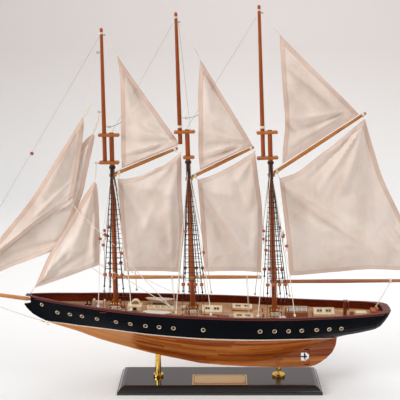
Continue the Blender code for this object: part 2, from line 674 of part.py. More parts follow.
def hooped_companion():
    """The fore companion: a cream box with an arched hood over its after end."""
    x = -142.0
    pitch = deck_pitch(x)
    house = box("hooped_companion", (22, 20, 8), on_deck(x, 0, 4.6), pitch=pitch)
    hood = rod("hood", on_deck(x + 1.5, 0.5, 8.2), on_deck(x + 1.5, 9.2, 8.2), 7.4, sides=20)
    mouth = rod("mouth", on_deck(x + 1.5, -2, 8.2), on_deck(x + 1.5, 7.6, 8.2), 6.2, sides=20)
    trim = box("trim", (20, 12, 6), on_deck(x + 1.5, 5, 3.9), pitch=pitch)
    union(house, cut(hood, mouth))
    union(house, trim)
    return place(house, "hooped_companion", "cream_paint", MODEL)


def slatted_hatch():
    x = -99.0
    pitch = deck_pitch(x)
    hatch = box("slatted_hatch", (44, 15, 6), on_deck(x, 0, 3.9), bevel=0.6, pitch=pitch)
    for i in range(4):
        along = (i - 1.5) * 10.4
        cut(hatch, box("slot", (8.2, 10.6, 3), on_deck(x + along, 0, 7.0), pitch=pitch))
    return place(hatch, "slatted_hatch", "cream_paint", MODEL)


def steering_gear():
    """The wheel on its own axle, the pedestal that carries it, the gear box and the stern seat."""
    x = 209.0
    hub_z = 17.2
    pedestal = box("wheel_pedestal", (5.6, 7.0, 24), on_deck(x, 0, 12.3), bevel=0.5)
    cap = box("pedestal_cap", (6.8, 8.2, 2.2), on_deck(x, 0, 24.6))
    union(pedestal, cap)
    cut(pedestal, rod("axle_bore", on_deck(x - 6, 0, hub_z), on_deck(x + 6, 0, hub_z), 1.12, sides=16))
    place(pedestal, "wheel_pedestal", "mast_wood", MODEL)

    centre = Vector(on_deck(x, 0, hub_z))
    wheel = turned("steering_wheel", ((0, 5.8), (1.7, 5.6), (1.9, 3.6), (1.0, 3.6), (1.0, -4.6), (0, -4.6)),
                   centre, axis=(1, 0, 0), steps=14)
    plane = centre + Vector((4.7, 0, 0))
    bpy.ops.mesh.primitive_torus_add(major_radius=6.6 * MM, minor_radius=0.75 * MM, major_segments=24,
                                     minor_segments=8, location=plane * MM,
                                     rotation=(0, math.pi / 2, 0))
    union(wheel, bpy.context.object)
    for i in range(8):
        angle = math.pi / 4 * i + 0.2
        radial = Vector((0, math.cos(angle), math.sin(angle)))
        union(wheel, rod("spoke", plane + radial * 0.8, plane + radial * 9.6, 0.55, sides=6))
    place(wheel, "steering_wheel", "mast_wood", MODEL)

    binnacle = box("binnacle", (6.0, 7, 6), on_deck(220.5, 0, 3.4), bevel=0.5)
    place(binnacle, "binnacle", "cabin_wood", MODEL)
    gear = box("steering_box", (18, 12, 5.4), on_deck(235.5, 0, 3.1), bevel=0.6)
    place(gear, "steering_box", "cream_paint", MODEL)
    seat = box("stern_seat", (11, 20, 9), on_deck(258, 0, 4.9), bevel=0.6)
    seat_back = box("seat_back", (3, 18, 5), on_deck(262, 0, 10.4))
    union(seat, seat_back)
    place(seat, "stern_seat", "cabin_wood", MODEL)


def deck_fittings():
    windlass()
    hooped_companion()
    slatted_hatch()
    lifeboat(1)
    lifeboat(-1)
    gabled_house("main_skylight", -13.0, 0, (33, 22), 5.6, 12.5, "cream_paint")
    gabled_house("port_skylight", 38.0, 23, (33, 19), 5.0, 8.6, "cream_paint")
    gabled_house("starboard_skylight", 38.5, -23, (32, 19), 5.0, 8.6, "cream_paint")
    gabled_house("aft_cabin", 128.0, 0, (36, 24), 8.6, 14.5, "cabin_wood", False)
    gabled_house("aft_skylight", 173.0, 0, (34, 22), 5.8, 12.5, "cream_paint")
    steering_gear()


# ---------------------------------------------------------------- assembly

for scene_object in list(bpy.context.scene.objects):
    bpy.data.objects.remove(scene_object, do_unlink=True)

MODEL = collection("model_schooner")
TOOLS = collection("cutters")

make_materials()
stand()
lower_hull()
upper_hull()
deck()
cap_rail(1)
cap_rail(-1)
rudder()
propeller()
bowsprit()
for mast_name in MASTS:
    mast(mast_name)
    spar(mast_name + "_boom", mast_name, *BOOMS[mast_name], "spar_wood")
    spar(mast_name + "_gaff", mast_name, *GAFFS[mast_name], "spar_wood")
    sail(mast_name + "_gaff_sail", GAFF_SAILS[mast_name])
    sail(mast_name + "_topsail", TOPSAILS[mast_name])
    shrouds(mast_name, 1)
    shrouds(mast_name, -1)
for sail_name, (sail_y, sail_outline) in HEADSAILS.items():
    sail(sail_name, sail_outline, sail_y)
deck_fittings()
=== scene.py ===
"""The looks of a three-masted model schooner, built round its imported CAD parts.

The CAD gives the hull, masts, spars, deck houses and stand, which keep their shapes and get
materials. This script makes what is soft or small: the cloth sails, the shrouds with their
deadeyes and ratlines, the rigging threads, portholes, colour line, eyelets, beads, window panes
and deck gear. Lengths are in millimetres in the numbers here and in metres in the meshes.
"""

import math

import bmesh
import bpy
import numpy as np
from mathutils import Matrix, Vector, noise
from mathutils.bvhtree import BVHTree


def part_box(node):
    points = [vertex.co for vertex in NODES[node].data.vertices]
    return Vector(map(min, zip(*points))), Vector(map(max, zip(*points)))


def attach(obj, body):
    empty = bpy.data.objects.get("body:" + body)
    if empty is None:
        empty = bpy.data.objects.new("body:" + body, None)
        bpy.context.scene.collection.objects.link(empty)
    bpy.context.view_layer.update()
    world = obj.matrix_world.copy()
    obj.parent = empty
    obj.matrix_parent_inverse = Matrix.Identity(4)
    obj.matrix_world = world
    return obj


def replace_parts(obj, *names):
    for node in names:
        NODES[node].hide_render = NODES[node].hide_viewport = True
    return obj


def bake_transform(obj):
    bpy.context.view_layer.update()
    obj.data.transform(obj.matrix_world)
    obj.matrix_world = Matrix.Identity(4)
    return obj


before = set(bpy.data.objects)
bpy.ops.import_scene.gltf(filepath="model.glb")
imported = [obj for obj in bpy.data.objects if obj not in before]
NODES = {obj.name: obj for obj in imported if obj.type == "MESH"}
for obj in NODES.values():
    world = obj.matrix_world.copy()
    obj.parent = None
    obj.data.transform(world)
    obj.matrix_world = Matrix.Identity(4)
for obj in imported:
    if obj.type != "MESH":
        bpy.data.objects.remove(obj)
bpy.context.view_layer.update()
MM = 0.001

# ---------------------------------------------------------------- camera

camera_data = bpy.data.cameras.new("camera")
camera_data.sensor_width = 36
camera_data.lens = 77.4
camera_data.shift_x = -0.0385
camera = bpy.data.objects.new("camera", camera_data)
camera.location = (-0.0073, -1.361, 0.6235)
camera.rotation_euler = (math.radians(77.4), 0, 0)
bpy.context.scene.collection.objects.link(camera)
bpy.context.scene.camera = camera


# ---------------------------------------------------------------- materials

def linear(red, green, blue):
    """A colour given as 0-255 screen values, as linear light."""
    def channel(value):
        value /= 255
        return value / 12.92 if value <= 0.04045 else ((value + 0.055) / 1.055) ** 2.4
    return (channel(red), channel(green), channel(blue), 1.0)


class Paint:
    """A node material, written as calls that return sockets."""

    def __init__(self, name, **constants):
        self.material = bpy.data.materials.new(name)
        self.material.use_nodes = True
        self.tree = self.material.node_tree
        self.shader = self.tree.nodes["Principled BSDF"]
        for key, value in constants.items():
            self.shader.inputs[key.replace("_", " ")].default_value = value
        self.spot = None

    def node(self, kind, inputs, output=0, **settings):
        made = self.tree.nodes.new(kind)
        for key, value in settings.items():
            setattr(made, key, value)
        for key, value in inputs.items():
            if isinstance(value, bpy.types.NodeSocket):
                self.tree.links.new(value, made.inputs[key])
            else:
                made.inputs[key].default_value = value
        return made.outputs[output]

    def link(self, name, socket):
        self.tree.links.new(socket, self.shader.inputs[name])

    def point(self):
        if self.spot is None:
            self.spot = self.tree.nodes.new("ShaderNodeTexCoord").outputs["Object"]
        return self.spot

    def axis(self, letter):
        return self.node("ShaderNodeSeparateXYZ", {0: self.point()}, "XYZ".index(letter))

    def scaled(self, x, y, z):
        return self.node("ShaderNodeVectorMath", {0: self.point(), 1: (x, y, z)}, operation="MULTIPLY")

    def math(self, operation, first, second=0.0):
        return self.node("ShaderNodeMath", {0: first, 1: second}, operation=operation)

    def noise(self, vector, scale=1.0, detail=3.0, rough=0.55):
        return self.node("ShaderNodeTexNoise",
                         {"Vector": vector, "Scale": scale, "Detail": detail, "Roughness": rough})

    def white(self, value):
        return self.node("ShaderNodeTexWhiteNoise", {"W": value}, noise_dimensions="1D")

    def ramp(self, factor, stops):
        out = self.node("ShaderNodeValToRGB", {0: factor})
        elements = out.node.color_ramp.elements
        while len(elements) < len(stops):
            elements.new(0.5)
        for element, (position, colour) in zip(elements, stops):
            element.position = position
            element.color = colour
        return out

    def level(self, factor, low, high, start=0.0, end=1.0):
        return self.node("ShaderNodeMapRange", {0: factor, 1: low, 2: high, 3: start, 4: end})

    def mix(self, factor, first, second):
        return self.node("ShaderNodeMix", {0: factor, 6: first, 7: second}, 2, data_type="RGBA")

    def toned(self, colour, factor):
        """A colour made darker or lighter by a factor."""
        return self.node("ShaderNodeVectorMath", {0: colour, "Scale": factor}, operation="SCALE")

    def attribute(self, name):
        return self.node("ShaderNodeAttribute", {}, 2, attribute_name=name)

    def bump(self, height, strength=0.3, distance=0.0005):
        self.link("Normal", self.node("ShaderNodeBump", {"Height": height, "Strength": strength,
                                                         "Distance": distance}))

    def wear(self, colour, amount=0.12, scale=160):
        """Colour with soft blotches, so no surface is one flat tone."""
        patch = self.noise(self.point(), scale, 4)
        return self.toned(colour[:3], self.level(patch, 0.3, 0.7, 1 - amount, 1 + amount))


def wood(name, light, dark, grain=(60, 60, 6), rough=0.35, coat=0.3, figure=0.9):
    """Varnished wood with its grain along the axis that has the small scale."""
    paint = Paint(name, Specular_IOR_Level=0.25, Coat_Weight=coat * 0.3, Coat_Roughness=0.15)
    lines = paint.noise(paint.scaled(*(18 * g for g in grain)), 1.0, 6, 0.65)
    broad = paint.noise(paint.scaled(*(2.2 * g for g in grain)), 1.0, 3)
    tone = paint.math("ADD", paint.math("MULTIPLY", lines, figure * 0.6),
                      paint.math("MULTIPLY", broad, 1 - figure * 0.6))
    paint.link("Base Color", paint.ramp(tone, [(0.32, linear(*dark)), (0.66, linear(*light))]))
    paint.link("Roughness", paint.level(lines, 0.2, 0.8, rough - 0.08, rough + 0.12))
    paint.bump(lines, 0.25, 0.0002)
    return paint.material


def metal(name, colour, rough=0.2):
    paint = Paint(name, Metallic=1.0, Roughness=rough)
    fine = paint.noise(paint.scaled(400, 400, 1600), 1.0, 3)
    paint.link("Base Color", paint.wear(linear(*colour), 0.14, 220))
    paint.link("Roughness", paint.level(fine, 0.2, 0.8, rough * 0.7, rough * 1.6))
    paint.bump(fine, 0.06, 0.0001)
    return paint.material


def painted(name, colour, rough=0.5, amount=0.1):
    paint = Paint(name, Roughness=rough)
    brush = paint.noise(paint.scaled(500, 500, 500), 1.0, 5)
    paint.link("Base Color", paint.wear(linear(*colour), amount, 240))
    paint.link("Roughness", paint.level(brush, 0.2, 0.8, rough - 0.12, rough + 0.14))
    paint.bump(brush, 0.12, 0.0002)
    return paint.material


def thread_material(name, light, dark):
    """Laid thread: fine diagonal strands."""
    paint = Paint(name, Roughness=0.85)
    strands = paint.node("ShaderNodeTexWave", {"Vector": paint.point(), "Scale": 900.0,
                                               "Distortion": 1.5}, 1, bands_direction="DIAGONAL")
    paint.link("Base Color", paint.ramp(strands, [(0.1, linear(*dark)), (0.8, linear(*light))]))
    paint.bump(strands, 0.5, 0.0002)
    return paint.material


def curve_on_x(paint, points, low, high):
    """A height in metres that follows (x, z) points in millimetres, as a smooth node curve."""
    start, end = points[0][0], points[-1][0]
    along = paint.level(paint.axis("X"), start * MM, end * MM)
    out = paint.node("ShaderNodeFloatCurve", {1: along})
    curve = out.node.mapping.curves[0]
    places = [((x - start) / (end - start), (z - low) / (high - low)) for x, z in points]
    curve.points[0].location = places[0]
    curve.points[1].location = places[-1]
    for place in places[1:-1]:
        curve.points.new(*place)
    out.node.mapping.update()
    return paint.level(out, 0.0, 1.0, low * MM, high * MM)


SHEER = ((-325, 157.6), (-255, 151.1), (-195, 146.6), (-120, 141.8), (-45, 138.4), (45, 135.2),
         (120, 133.0), (195, 132.7), (284, 134.2))
KEEL = ((-325, 143), (-287, 111.7), (-235, 93.9), (-168, 70.7), (-118, 56.3), (-79, 47.3),
        (-33, 39.6), (20, 36.5), (100, 38), (197, 44), (284, 60))
COLOUR_LINE = ((-287, 112.4), (-235, 106.8), (-170, 105.4), (-114, 103.6), (-32, 100.6), (33, 99),
               (114, 96), (160, 91.6), (185, 87.6), (197, 85.2))
HULL_PLANKS = 22.0
DECK_PLANKS_PER_METRE = 300.0


def hull_planks():
    """Varnished planks that run with the hull's sheer and narrow towards the bow."""
    paint = Paint("varnished_planks", Specular_IOR_Level=0.25, Coat_Weight=0.12, Coat_Roughness=0.12)
    sheer = curve_on_x(paint, SHEER, 30, 160)
    keel = curve_on_x(paint, KEEL, 30, 160)
    share = paint.math("DIVIDE", paint.math("SUBTRACT", paint.axis("Z"), keel),
                       paint.math("SUBTRACT", sheer, keel))
    row = paint.math("MULTIPLY", share, HULL_PLANKS)
    index = paint.math("FLOOR", row)
    within = paint.math("FRACT", row)
    shift = paint.math("MULTIPLY", paint.white(index), 7.0)
    run = paint.math("ADD", paint.math("MULTIPLY", paint.axis("X"), 9.0), shift)
    board = paint.math("ADD", paint.math("MULTIPLY", paint.math("FLOOR", run), 3.7), index)
    tone = paint.white(board)
    grain = paint.noise(paint.scaled(60, 900, 900), 1.0, 5, 0.6)
    broad = paint.noise(paint.scaled(9, 30, 60), 1.0, 3)
    mixed = paint.math("ADD", paint.math("MULTIPLY", tone, 0.34),
                       paint.math("ADD", paint.math("MULTIPLY", grain, 0.34),
                                  paint.math("MULTIPLY", broad, 0.36)))
    colour = paint.ramp(mixed, [(0.3, linear(116, 46, 12)), (0.46, linear(162, 80, 24)),
                                (0.6, linear(190, 106, 40)), (0.8, linear(212, 138, 66))])
    place = paint.math("ADD", paint.axis("X"), paint.math("MULTIPLY", tone, 0.014))
    forward = paint.level(place, -0.136, -0.142)
    pale = paint.mix(paint.math("MULTIPLY", forward, 0.7), colour, linear(208, 136, 66))
    seam = paint.math("LESS_THAN", paint.math("ABSOLUTE", paint.math("SUBTRACT", within, 0.5)), 0.46)
    shaded = paint.mix(paint.math("SUBTRACT", 1.0, seam), pale, linear(96, 38, 12))
    paint.link("Base Color", paint.mix(0.45, pale, shaded))
    paint.link("Roughness", paint.level(grain, 0.2, 0.8, 0.24, 0.42))
    paint.bump(paint.math("ADD", seam, paint.math("MULTIPLY", grain, 0.25)), 0.35, 0.0003)
    return paint.material


def topsides():
    """Gloss navy-black outside and red-brown planks on the inner faces of the bulwarks."""
    paint = Paint("navy_topsides", Specular_IOR_Level=0.05)
    normal = paint.node("ShaderNodeNewGeometry", {}, 1)
    facing = paint.node("ShaderNodeSeparateXYZ", {0: normal}, 1)
    inward = paint.math("LESS_THAN", paint.math("MULTIPLY", facing, paint.axis("Y")), -0.0004)
    sheer = curve_on_x(paint, SHEER, 30, 160)
    depth = paint.math("SUBTRACT", sheer, paint.axis("Z"))
    inside = paint.math("MULTIPLY", inward, paint.math("LESS_THAN", depth, 0.0125))
    planks = paint.math("FRACT", paint.math("MULTIPLY", depth, 330.0))
    seam = paint.math("GREATER_THAN", planks, 0.12)
    grain = paint.noise(paint.scaled(50, 700, 700), 1.0, 5)
    brown = paint.ramp(grain, [(0.3, linear(74, 22, 8)), (0.7, linear(128, 48, 20))])
    brown = paint.mix(seam, linear(60, 20, 10), brown)
    navy = paint.wear(linear(4, 8, 15), 0.25, 30)
    paint.link("Base Color", paint.mix(inside, navy, brown))
    paint.link("Roughness", paint.level(inside, 0, 1, 0.22, 0.45))
    paint.bump(paint.noise(paint.scaled(25, 120, 120), 1.0, 2), 0.05, 0.0006)
    return paint.material


def deck_planks():
    paint = Paint("deck_planks", Roughness=0.5)
    row = paint.math("MULTIPLY", paint.math("ADD", paint.axis("Y"), 0.2), DECK_PLANKS_PER_METRE)
    index = paint.math("FLOOR", row)
    seam = paint.math("GREATER_THAN", paint.math("FRACT", row), 0.1)
    run = paint.math("ADD", paint.math("MULTIPLY", paint.axis("X"), 16.0),
                     paint.math("MULTIPLY", paint.white(index), 9.0))
    butt = paint.math("GREATER_THAN", paint.math("FRACT", run), 0.012)
    tone = paint.white(paint.math("ADD", paint.math("MULTIPLY", paint.math("FLOOR", run), 5.3), index))
    grain = paint.noise(paint.scaled(50, 1400, 600), 1.0, 5)
    mixed = paint.math("ADD", paint.math("MULTIPLY", tone, 0.4), paint.math("MULTIPLY", grain, 0.6))
    colour = paint.ramp(mixed, [(0.2, linear(172, 122, 84)), (0.8, linear(224, 182, 138))])
    gap = paint.math("MULTIPLY", seam, butt)
    # Painted shade: the deck is darkened towards the bow, for the shadow of the bulwarks there.
    painted_bow_shade = paint.level(paint.axis("X"), -0.24, -0.13, 0.55, 1.0)
    paint.link("Base Color", paint.toned(paint.mix(gap, linear(120, 76, 48), colour), painted_bow_shade))
    paint.bump(paint.math("ADD", gap, paint.math("MULTIPLY", grain, 0.2)), 0.3, 0.0002)
    return paint.material


def sailcloth():
    """Cotton: a fine weave, faint slubs, a doubled hem painted darker and warmer as painted shade for the
    less light that passes through two layers, and its row of stitches.
    """
    paint = Paint("sailcloth", Roughness=0.9, Sheen_Weight=0.25, Sheen_Roughness=0.5)
    edge, along = paint.attribute("edge_mm"), paint.attribute("along_mm")
    threads = {"Vector": paint.point(), "Scale": 420.0, "Distortion": 0.6}
    warp, weft = (paint.node("ShaderNodeTexWave", threads, 1, bands_direction=way) for way in "XZ")
    weave = paint.math("MAXIMUM", warp, weft)
    slub = paint.noise(paint.scaled(900, 60, 90), 1.0, 3)
    stain = paint.noise(paint.scaled(14, 14, 10), 1.0, 4, 0.6)
    ground = paint.ramp(stain, [(0.3, linear(220, 199, 186)), (0.52, linear(234, 216, 204)),
                                (0.75, linear(245, 231, 221))])
    # Painted shade: the doubled hem is darker and warmer because less light passes through two layers of
    # cloth.
    hem_painted_shade_tone = paint.ramp(stain, [(0.3, linear(210, 178, 160)), (0.7, linear(230, 203, 188))])
    hem = paint.level(edge, 7.6, 6.9)
    body = paint.mix(paint.math("MULTIPLY", hem, paint.attribute("hem_shade_share")), ground, hem_painted_shade_tone)
    fold = paint.level(edge, 1.4, 0.2)
    body = paint.mix(paint.math("MULTIPLY", fold, 0.35), body, linear(188, 150, 128))
    line = paint.math("LESS_THAN", paint.math("ABSOLUTE", paint.math("SUBTRACT", edge, 6.5)), 0.3)
    dash = paint.math("LESS_THAN", paint.math("FRACT", paint.math("MULTIPLY", along, 0.5)), 0.62)
    stitch = paint.math("MULTIPLY", line, dash)
    body = paint.mix(paint.math("MULTIPLY", stitch, 0.4), body, linear(172, 138, 116))
    shade = paint.level(paint.math("ADD", paint.math("MULTIPLY", weave, 0.4), slub), 0.4, 1.1, 0.95, 1.03)
    paint.link("Base Color", paint.toned(body, shade))
    height = paint.math("ADD", paint.math("MULTIPLY", weave, 0.5), paint.math("MULTIPLY", slub, 0.3))
    paint.bump(paint.math("SUBTRACT", height, stitch), 0.25, 0.00015)
    return paint.material


def name_plate_metal():
    paint = Paint("plate_brass", Metallic=0.85, Roughness=0.4)
    brushed = paint.noise(paint.scaled(90, 2600, 400), 1.0, 3)
    paint.link("Base Color", paint.ramp(brushed, [(0.3, linear(214, 180, 134)),
                                                  (0.7, linear(240, 214, 170))]))
    paint.link("Roughness", paint.level(brushed, 0.3, 0.7, 0.32, 0.5))
    paint.bump(brushed, 0.08, 0.0001)
    return paint.material


def lacquer(name, colour):
    paint = Paint(name, Roughness=0.1, Coat_Weight=0.5, Coat_Roughness=0.04)
    haze = paint.noise(paint.scaled(8, 30, 30), 1.0, 4)
    paint.link("Base Color", paint.wear(linear(*colour), 0.18, 40))
    paint.link("Roughness", paint.level(haze, 0.3, 0.7, 0.07, 0.2))
    paint.bump(paint.noise(paint.scaled(60, 60, 60), 1.0, 2), 0.02, 0.0005)
    return paint.material


M = {
    "hull": hull_planks(),
    "topsides": topsides(),
    "deck": deck_planks(),
    "sail": sailcloth(),
    "rail": wood("rail_wood", (116, 40, 34), (74, 20, 18), (6, 60, 60), 0.3, 0.3),
    "mast": wood("mast_wood", (170, 84, 26), (118, 46, 10), (40, 40, 4), 0.35, 0.3),
    "spar": wood("spar_wood", (200, 134, 70), (148, 84, 34), (5, 50, 50), 0.35, 0.3),
    "mizzen_boom": wood("boom_wood", (180, 116, 80), (128, 68, 40), (5, 50, 50), 0.35, 0.3),
    "cap": wood("cap_wood", (196, 116, 54), (134, 66, 22), (8, 50, 50), 0.35, 0.35),
    "bowsprit": wood("bowsprit_wood", (214, 154, 96), (168, 102, 52), (5, 50, 50), 0.4, 0.25),
    "cabin": wood("cabin_wood", (176, 112, 70), (120, 64, 36), (10, 50, 50), 0.4, 0.2),
    "seat": wood("seat_wood", (186, 104, 58), (134, 62, 32), (10, 50, 50), 0.4, 0.2),
    "wheel": wood("wheel_wood", (150, 70, 36), (92, 36, 18), (40, 12, 12), 0.35, 0.3),
    "bead": wood("bead_wood", (186, 104, 66), (130, 58, 34), (50, 50, 20), 0.3, 0.5),
    "brass": metal("brass", (236, 192, 96), 0.16),
    "ring": metal("porthole_brass", (236, 212, 176), 0.35),
    "plate": name_plate_metal(),
    "dark_metal": metal("blackened_metal", (46, 44, 44), 0.4),
    "aged_brass": metal("aged_brass", (150, 108, 62), 0.4),
    "stand": lacquer("black_lacquer", (26, 28, 30)),
    "black": thread_material("black_thread", (48, 48, 50), (14, 14, 16)),
    "cream": thread_material("cream_thread", (250, 244, 232), (220, 206, 188)),
    "stay": thread_material("grey_thread", (196, 188, 182), (150, 142, 138)),
    "cream_paint": painted("cream_paint", (232, 208, 172), 0.5, 0.12),
    "white": painted("white_paint", (238, 232, 222), 0.4, 0.06),
    "stripe": painted("stripe_paint", (232, 222, 208), 0.4, 0.06),
    "pink": painted("windlass_paint", (214, 176, 156), 0.5, 0.16),
    # Painted shade: the port lifeboat is white like the starboard one, painted greyer and darker for the
    # shadow it sits in.
    "shaded_boat_white": painted("boat_white_painted_shade", (206, 188, 168), 0.8, 0.12),
    # Painted shadow: a near-black for the skylight panes and the gaps of the hatch, companion and bench,
    # standing in for the shade inside them.
    "painted_shadow": lacquer("dark_painted_shadow", (34, 24, 22)),
    "roof": lacquer("grey_roof", (132, 118, 108)),
    "port_dark": lacquer("porthole_glass", (18, 14, 14)),
}

NODE_LOOKS = {
    "stand": "stand_board",
    "brass": "stand_post_fore stand_post_aft",
    "plate": "name_plate",
    "hull": "lower_hull rudder",
    "topsides": "upper_hull",
    "deck": "deck",
    "rail": "cap_rail_port cap_rail_starboard",
    "dark_metal": "propeller",
    "bowsprit": "bowsprit fore_boom main_boom",
    "pink": "windlass",
    "cream_paint": "hooped_companion slatted_hatch main_skylight port_skylight starboard_skylight "
                   "aft_skylight steering_box",
    # The port lifeboat's darker colour is painted shade.
    "shaded_boat_white": "lifeboat_port",
    "white": "lifeboat_starboard",
    "cabin": "aft_cabin binnacle",
    "wheel": "wheel_pedestal steering_wheel",
    "seat": "stern_seat",
    "mizzen_boom": "mizzen_boom",
}
PART_LOOKS = {"lower_mast": "mast", "topmast": "mast", "mast_cap": "cap", "trestle_board": "cap",
              "boom": "spar", "gaff": "spar"}
LOOK_OF = {name: look for look, names in NODE_LOOKS.items() for name in names.split()}
for node_name, node in NODES.items():
    look = LOOK_OF.get(node_name) or PART_LOOKS.get(node_name.split("_", 1)[-1])
    if look:
        node.data.materials.clear()
        node.data.materials.append(M[look])


# ---------------------------------------------------------------- mesh making


def circle(steps):
    """The angles of points spaced evenly round a circle."""
    return [2 * math.pi * k / steps for k in range(steps)]


class Shape:
    """Collects closed forms, in millimetres, into one mesh."""

    def __init__(self):
        self.verts, self.faces = [], []

    def add(self, verts, faces):
        base = len(self.verts)
        self.verts += [Vector(v) for v in verts]
        self.faces += [tuple(base + i for i in face) for face in faces]

    def rings(self, rings, looped=False):
        count, rows = len(rings[0]), len(rings)
        faces = []
        for row in range(rows if looped else rows - 1):
            a, b = row * count, (row + 1) % rows * count
            faces += [(a + i, a + (i + 1) % count, b + (i + 1) % count, b + i) for i in range(count)]
        if not looped:
            faces.append(tuple(reversed(range(count))))
            faces.append(tuple(range((rows - 1) * count, rows * count)))
        self.add([point for ring in rings for point in ring], faces)

    def tube(self, points, radius, sides=6, end_radius=None, looped=False):
        points = [Vector(p) for p in points]
        last = len(points) - 1
        side = None
        rings = []
        for i, point in enumerate(points):
            if looped:
                along = (points[(i + 1) % len(points)] - points[i - 1]).normalized()
            else:
                along = (points[min(i + 1, last)] - points[max(i - 1, 0)]).normalized()
            if side is None:
                side = along.orthogonal().normalized()
            side = (side - along * side.dot(along)).normalized()
            other = along.cross(side)
            size = radius + ((end_radius or radius) - radius) * i / max(last, 1)
            rings.append([point + (side * math.cos(a) + other * math.sin(a)) * size
                          for a in circle(sides)])
        self.rings(rings, looped)

    def ring(self, centre, axis, major, minor, steps=20, sides=8):
        turn = Vector(axis).to_track_quat("Z", "Y")
        self.tube([Vector(centre) + turn @ Vector((math.cos(a), math.sin(a), 0)) * major
                   for a in circle(steps)], minor, sides, looped=True)

    def lathe(self, profile, centre, axis=(0, 0, 1), steps=16):
        """profile is (radius, height) along the axis; ends are capped."""
        turn = Vector(axis).to_track_quat("Z", "Y")
        self.rings([[Vector(centre) + turn @ Vector((r * math.cos(a), r * math.sin(a), h))
                     for a in circle(steps)] for r, h in profile])

    def bead(self, centre, radius, axis=(0, 0, 1), steps=14):
        """A turned wooden bead, a little flatter at its holes."""
        self.lathe([(radius * math.cos(a) + 0.02, radius * 0.9 * math.sin(a))
                    for a in [math.pi * (k / 8 - 0.5) for k in range(9)]], centre, axis, steps)

    def box(self, size, centre, turn=None, bevel=0.25):
        """A box with chamfered edges, turned about its centre."""
        turn = turn or Matrix.Identity(3)
        sx, sy, sz = (s / 2 for s in size)
        bevel = min(bevel, sx * 0.8, sy * 0.8, sz * 0.8)

        def ring(z, inset):
            x, y = sx - inset, sy - inset
            b = bevel
            corners = ((x, y - b), (x - b, y), (b - x, y), (-x, y - b), (-x, b - y), (b - x, -y),
                       (x - b, -y), (x, b - y))
            return [Vector(centre) + turn @ Vector((px, py, z)) for px, py in corners]
        self.rings([ring(-sz, bevel * 0.7), ring(bevel - sz, 0), ring(sz - bevel, 0),
                    ring(sz, bevel * 0.7)])

    def build(self, name, material, body="ship", sharp=40):
        """Makes the piece."""
        obj = solid(name, self.verts, self.faces, material, sharp)
        if body:
            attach(obj, body)
        return obj


def solid(name, verts, faces, material, sharp=40):
    mesh = bpy.data.meshes.new(name)
    mesh.from_pydata([Vector(v) * MM for v in verts], [], faces)
    bm = bmesh.new()
    bm.from_mesh(mesh)
    bmesh.ops.recalc_face_normals(bm, faces=bm.faces)
    bm.to_mesh(mesh)
    bm.free()
    mesh.shade_smooth()
    mesh.set_sharp_from_angle(angle=math.radians(sharp))
    mesh.materials.append(M[material])
    obj = bpy.data.objects.new(name, mesh)
    bpy.context.scene.collection.objects.link(obj)
    return obj


def line(start, end, steps=12, sag=0.0):
    """Points from start to end, hanging down by sag in the middle."""
    start, end = Vector(start), Vector(end)
    return [start.lerp(end, i / steps) - Vector((0, 0, sag * 4 * (i / steps) * (1 - i / steps)))
            for i in range(steps + 1)]


def tree_of(*names):
    verts, faces = [], []
    for name in names:
        mesh = NODES[name].data
        base = len(verts)
        verts += [v.co.copy() for v in mesh.vertices]
        faces += [[base + i for i in polygon.vertices] for polygon in mesh.polygons]
    return BVHTree.FromPolygons(verts, faces)


HULL = tree_of("upper_hull", "lower_hull")
DECK = tree_of("deck")


def skin(x, z, side):
    """The point and outward normal of the hull's outer surface, in millimetres."""
    for inboard in range(12):
        hit, normal, _, _ = HULL.ray_cast(Vector((x, side * 120, z)) * MM, Vector((0, -side, 0)))
        if hit:
            break
        x += 1.0 if x < 0 else -1.0
    if normal.y * side < 0:
        normal = -normal
    return hit / MM, normal


def deck_at(x, y=0.0):
    for aside in (0, 6, -6, 12):
        hit = DECK.ray_cast(Vector((x, y + aside, 200)) * MM, Vector((0, 0, -1)))[0]
        if hit:
            return hit.z / MM
    return 0.0


def rail_at(x):
    for (xa, za), (xb, zb) in zip(SHEER, SHEER[1:]):
        if xa <= x <= xb:
            return za + (zb - za) * (x - xa) / (xb - xa)
    return SHEER[-1][1]


# ---------------------------------------------------------------- hull details

def colour_stripe():
    """A thin white line painted where the varnish meets the topsides, right round each side."""
    for side, label in ((1, "port"), (-1, "starboard")):
        shape = Shape()
        rings = []
        count = 90
        for i in range(count + 1):
            x = -285.5 + (195.5 + 285.5) * i / count
            z = np.interp(x, [p[0] for p in COLOUR_LINE], [p[1] for p in COLOUR_LINE]) - 0.1
            half = 0.95 * min(1.0, 0.3 + i / 8, 0.3 + (count - i) / 8)
            low, low_out = skin(x, z - half, side)
            high, high_out = skin(x, z + half, side)
            rings.append([low - low_out * 0.15, high - high_out * 0.15,
                          high + high_out * 0.22, low + low_out * 0.22])
        shape.rings(rings)
        shape.build("colour_stripe_" + label, "stripe", sharp=60)


PORTHOLES = (-268.5, -247.2, -226.6, -201.2, -169.1, -145.2, -120.4, -98.2, -74.9, -26.9, 64.8,
             88.2, 111.2, 132.9, 157.3, 178.3, 198.5)


def portholes():
    rims, panes = Shape(), Shape()
    for side in (1, -1):
        for x in PORTHOLES + (-294.5,):
            hit, out = skin(x, rail_at(x) - (20.6 if x > -290 else 10.5), side)
            size = 1.0 if x > -290 else 0.85
            rims.ring(hit + out * 0.1, out, 3.15 * size, 0.55 * size, 28, 8)
            panes.lathe([(2.75 * size, -0.2), (2.75 * size, 0.12), (1.2, 0.2)], hit, out, 24)
    rims.build("porthole_rims", "ring")
    panes.build("porthole_panes", "port_dark")


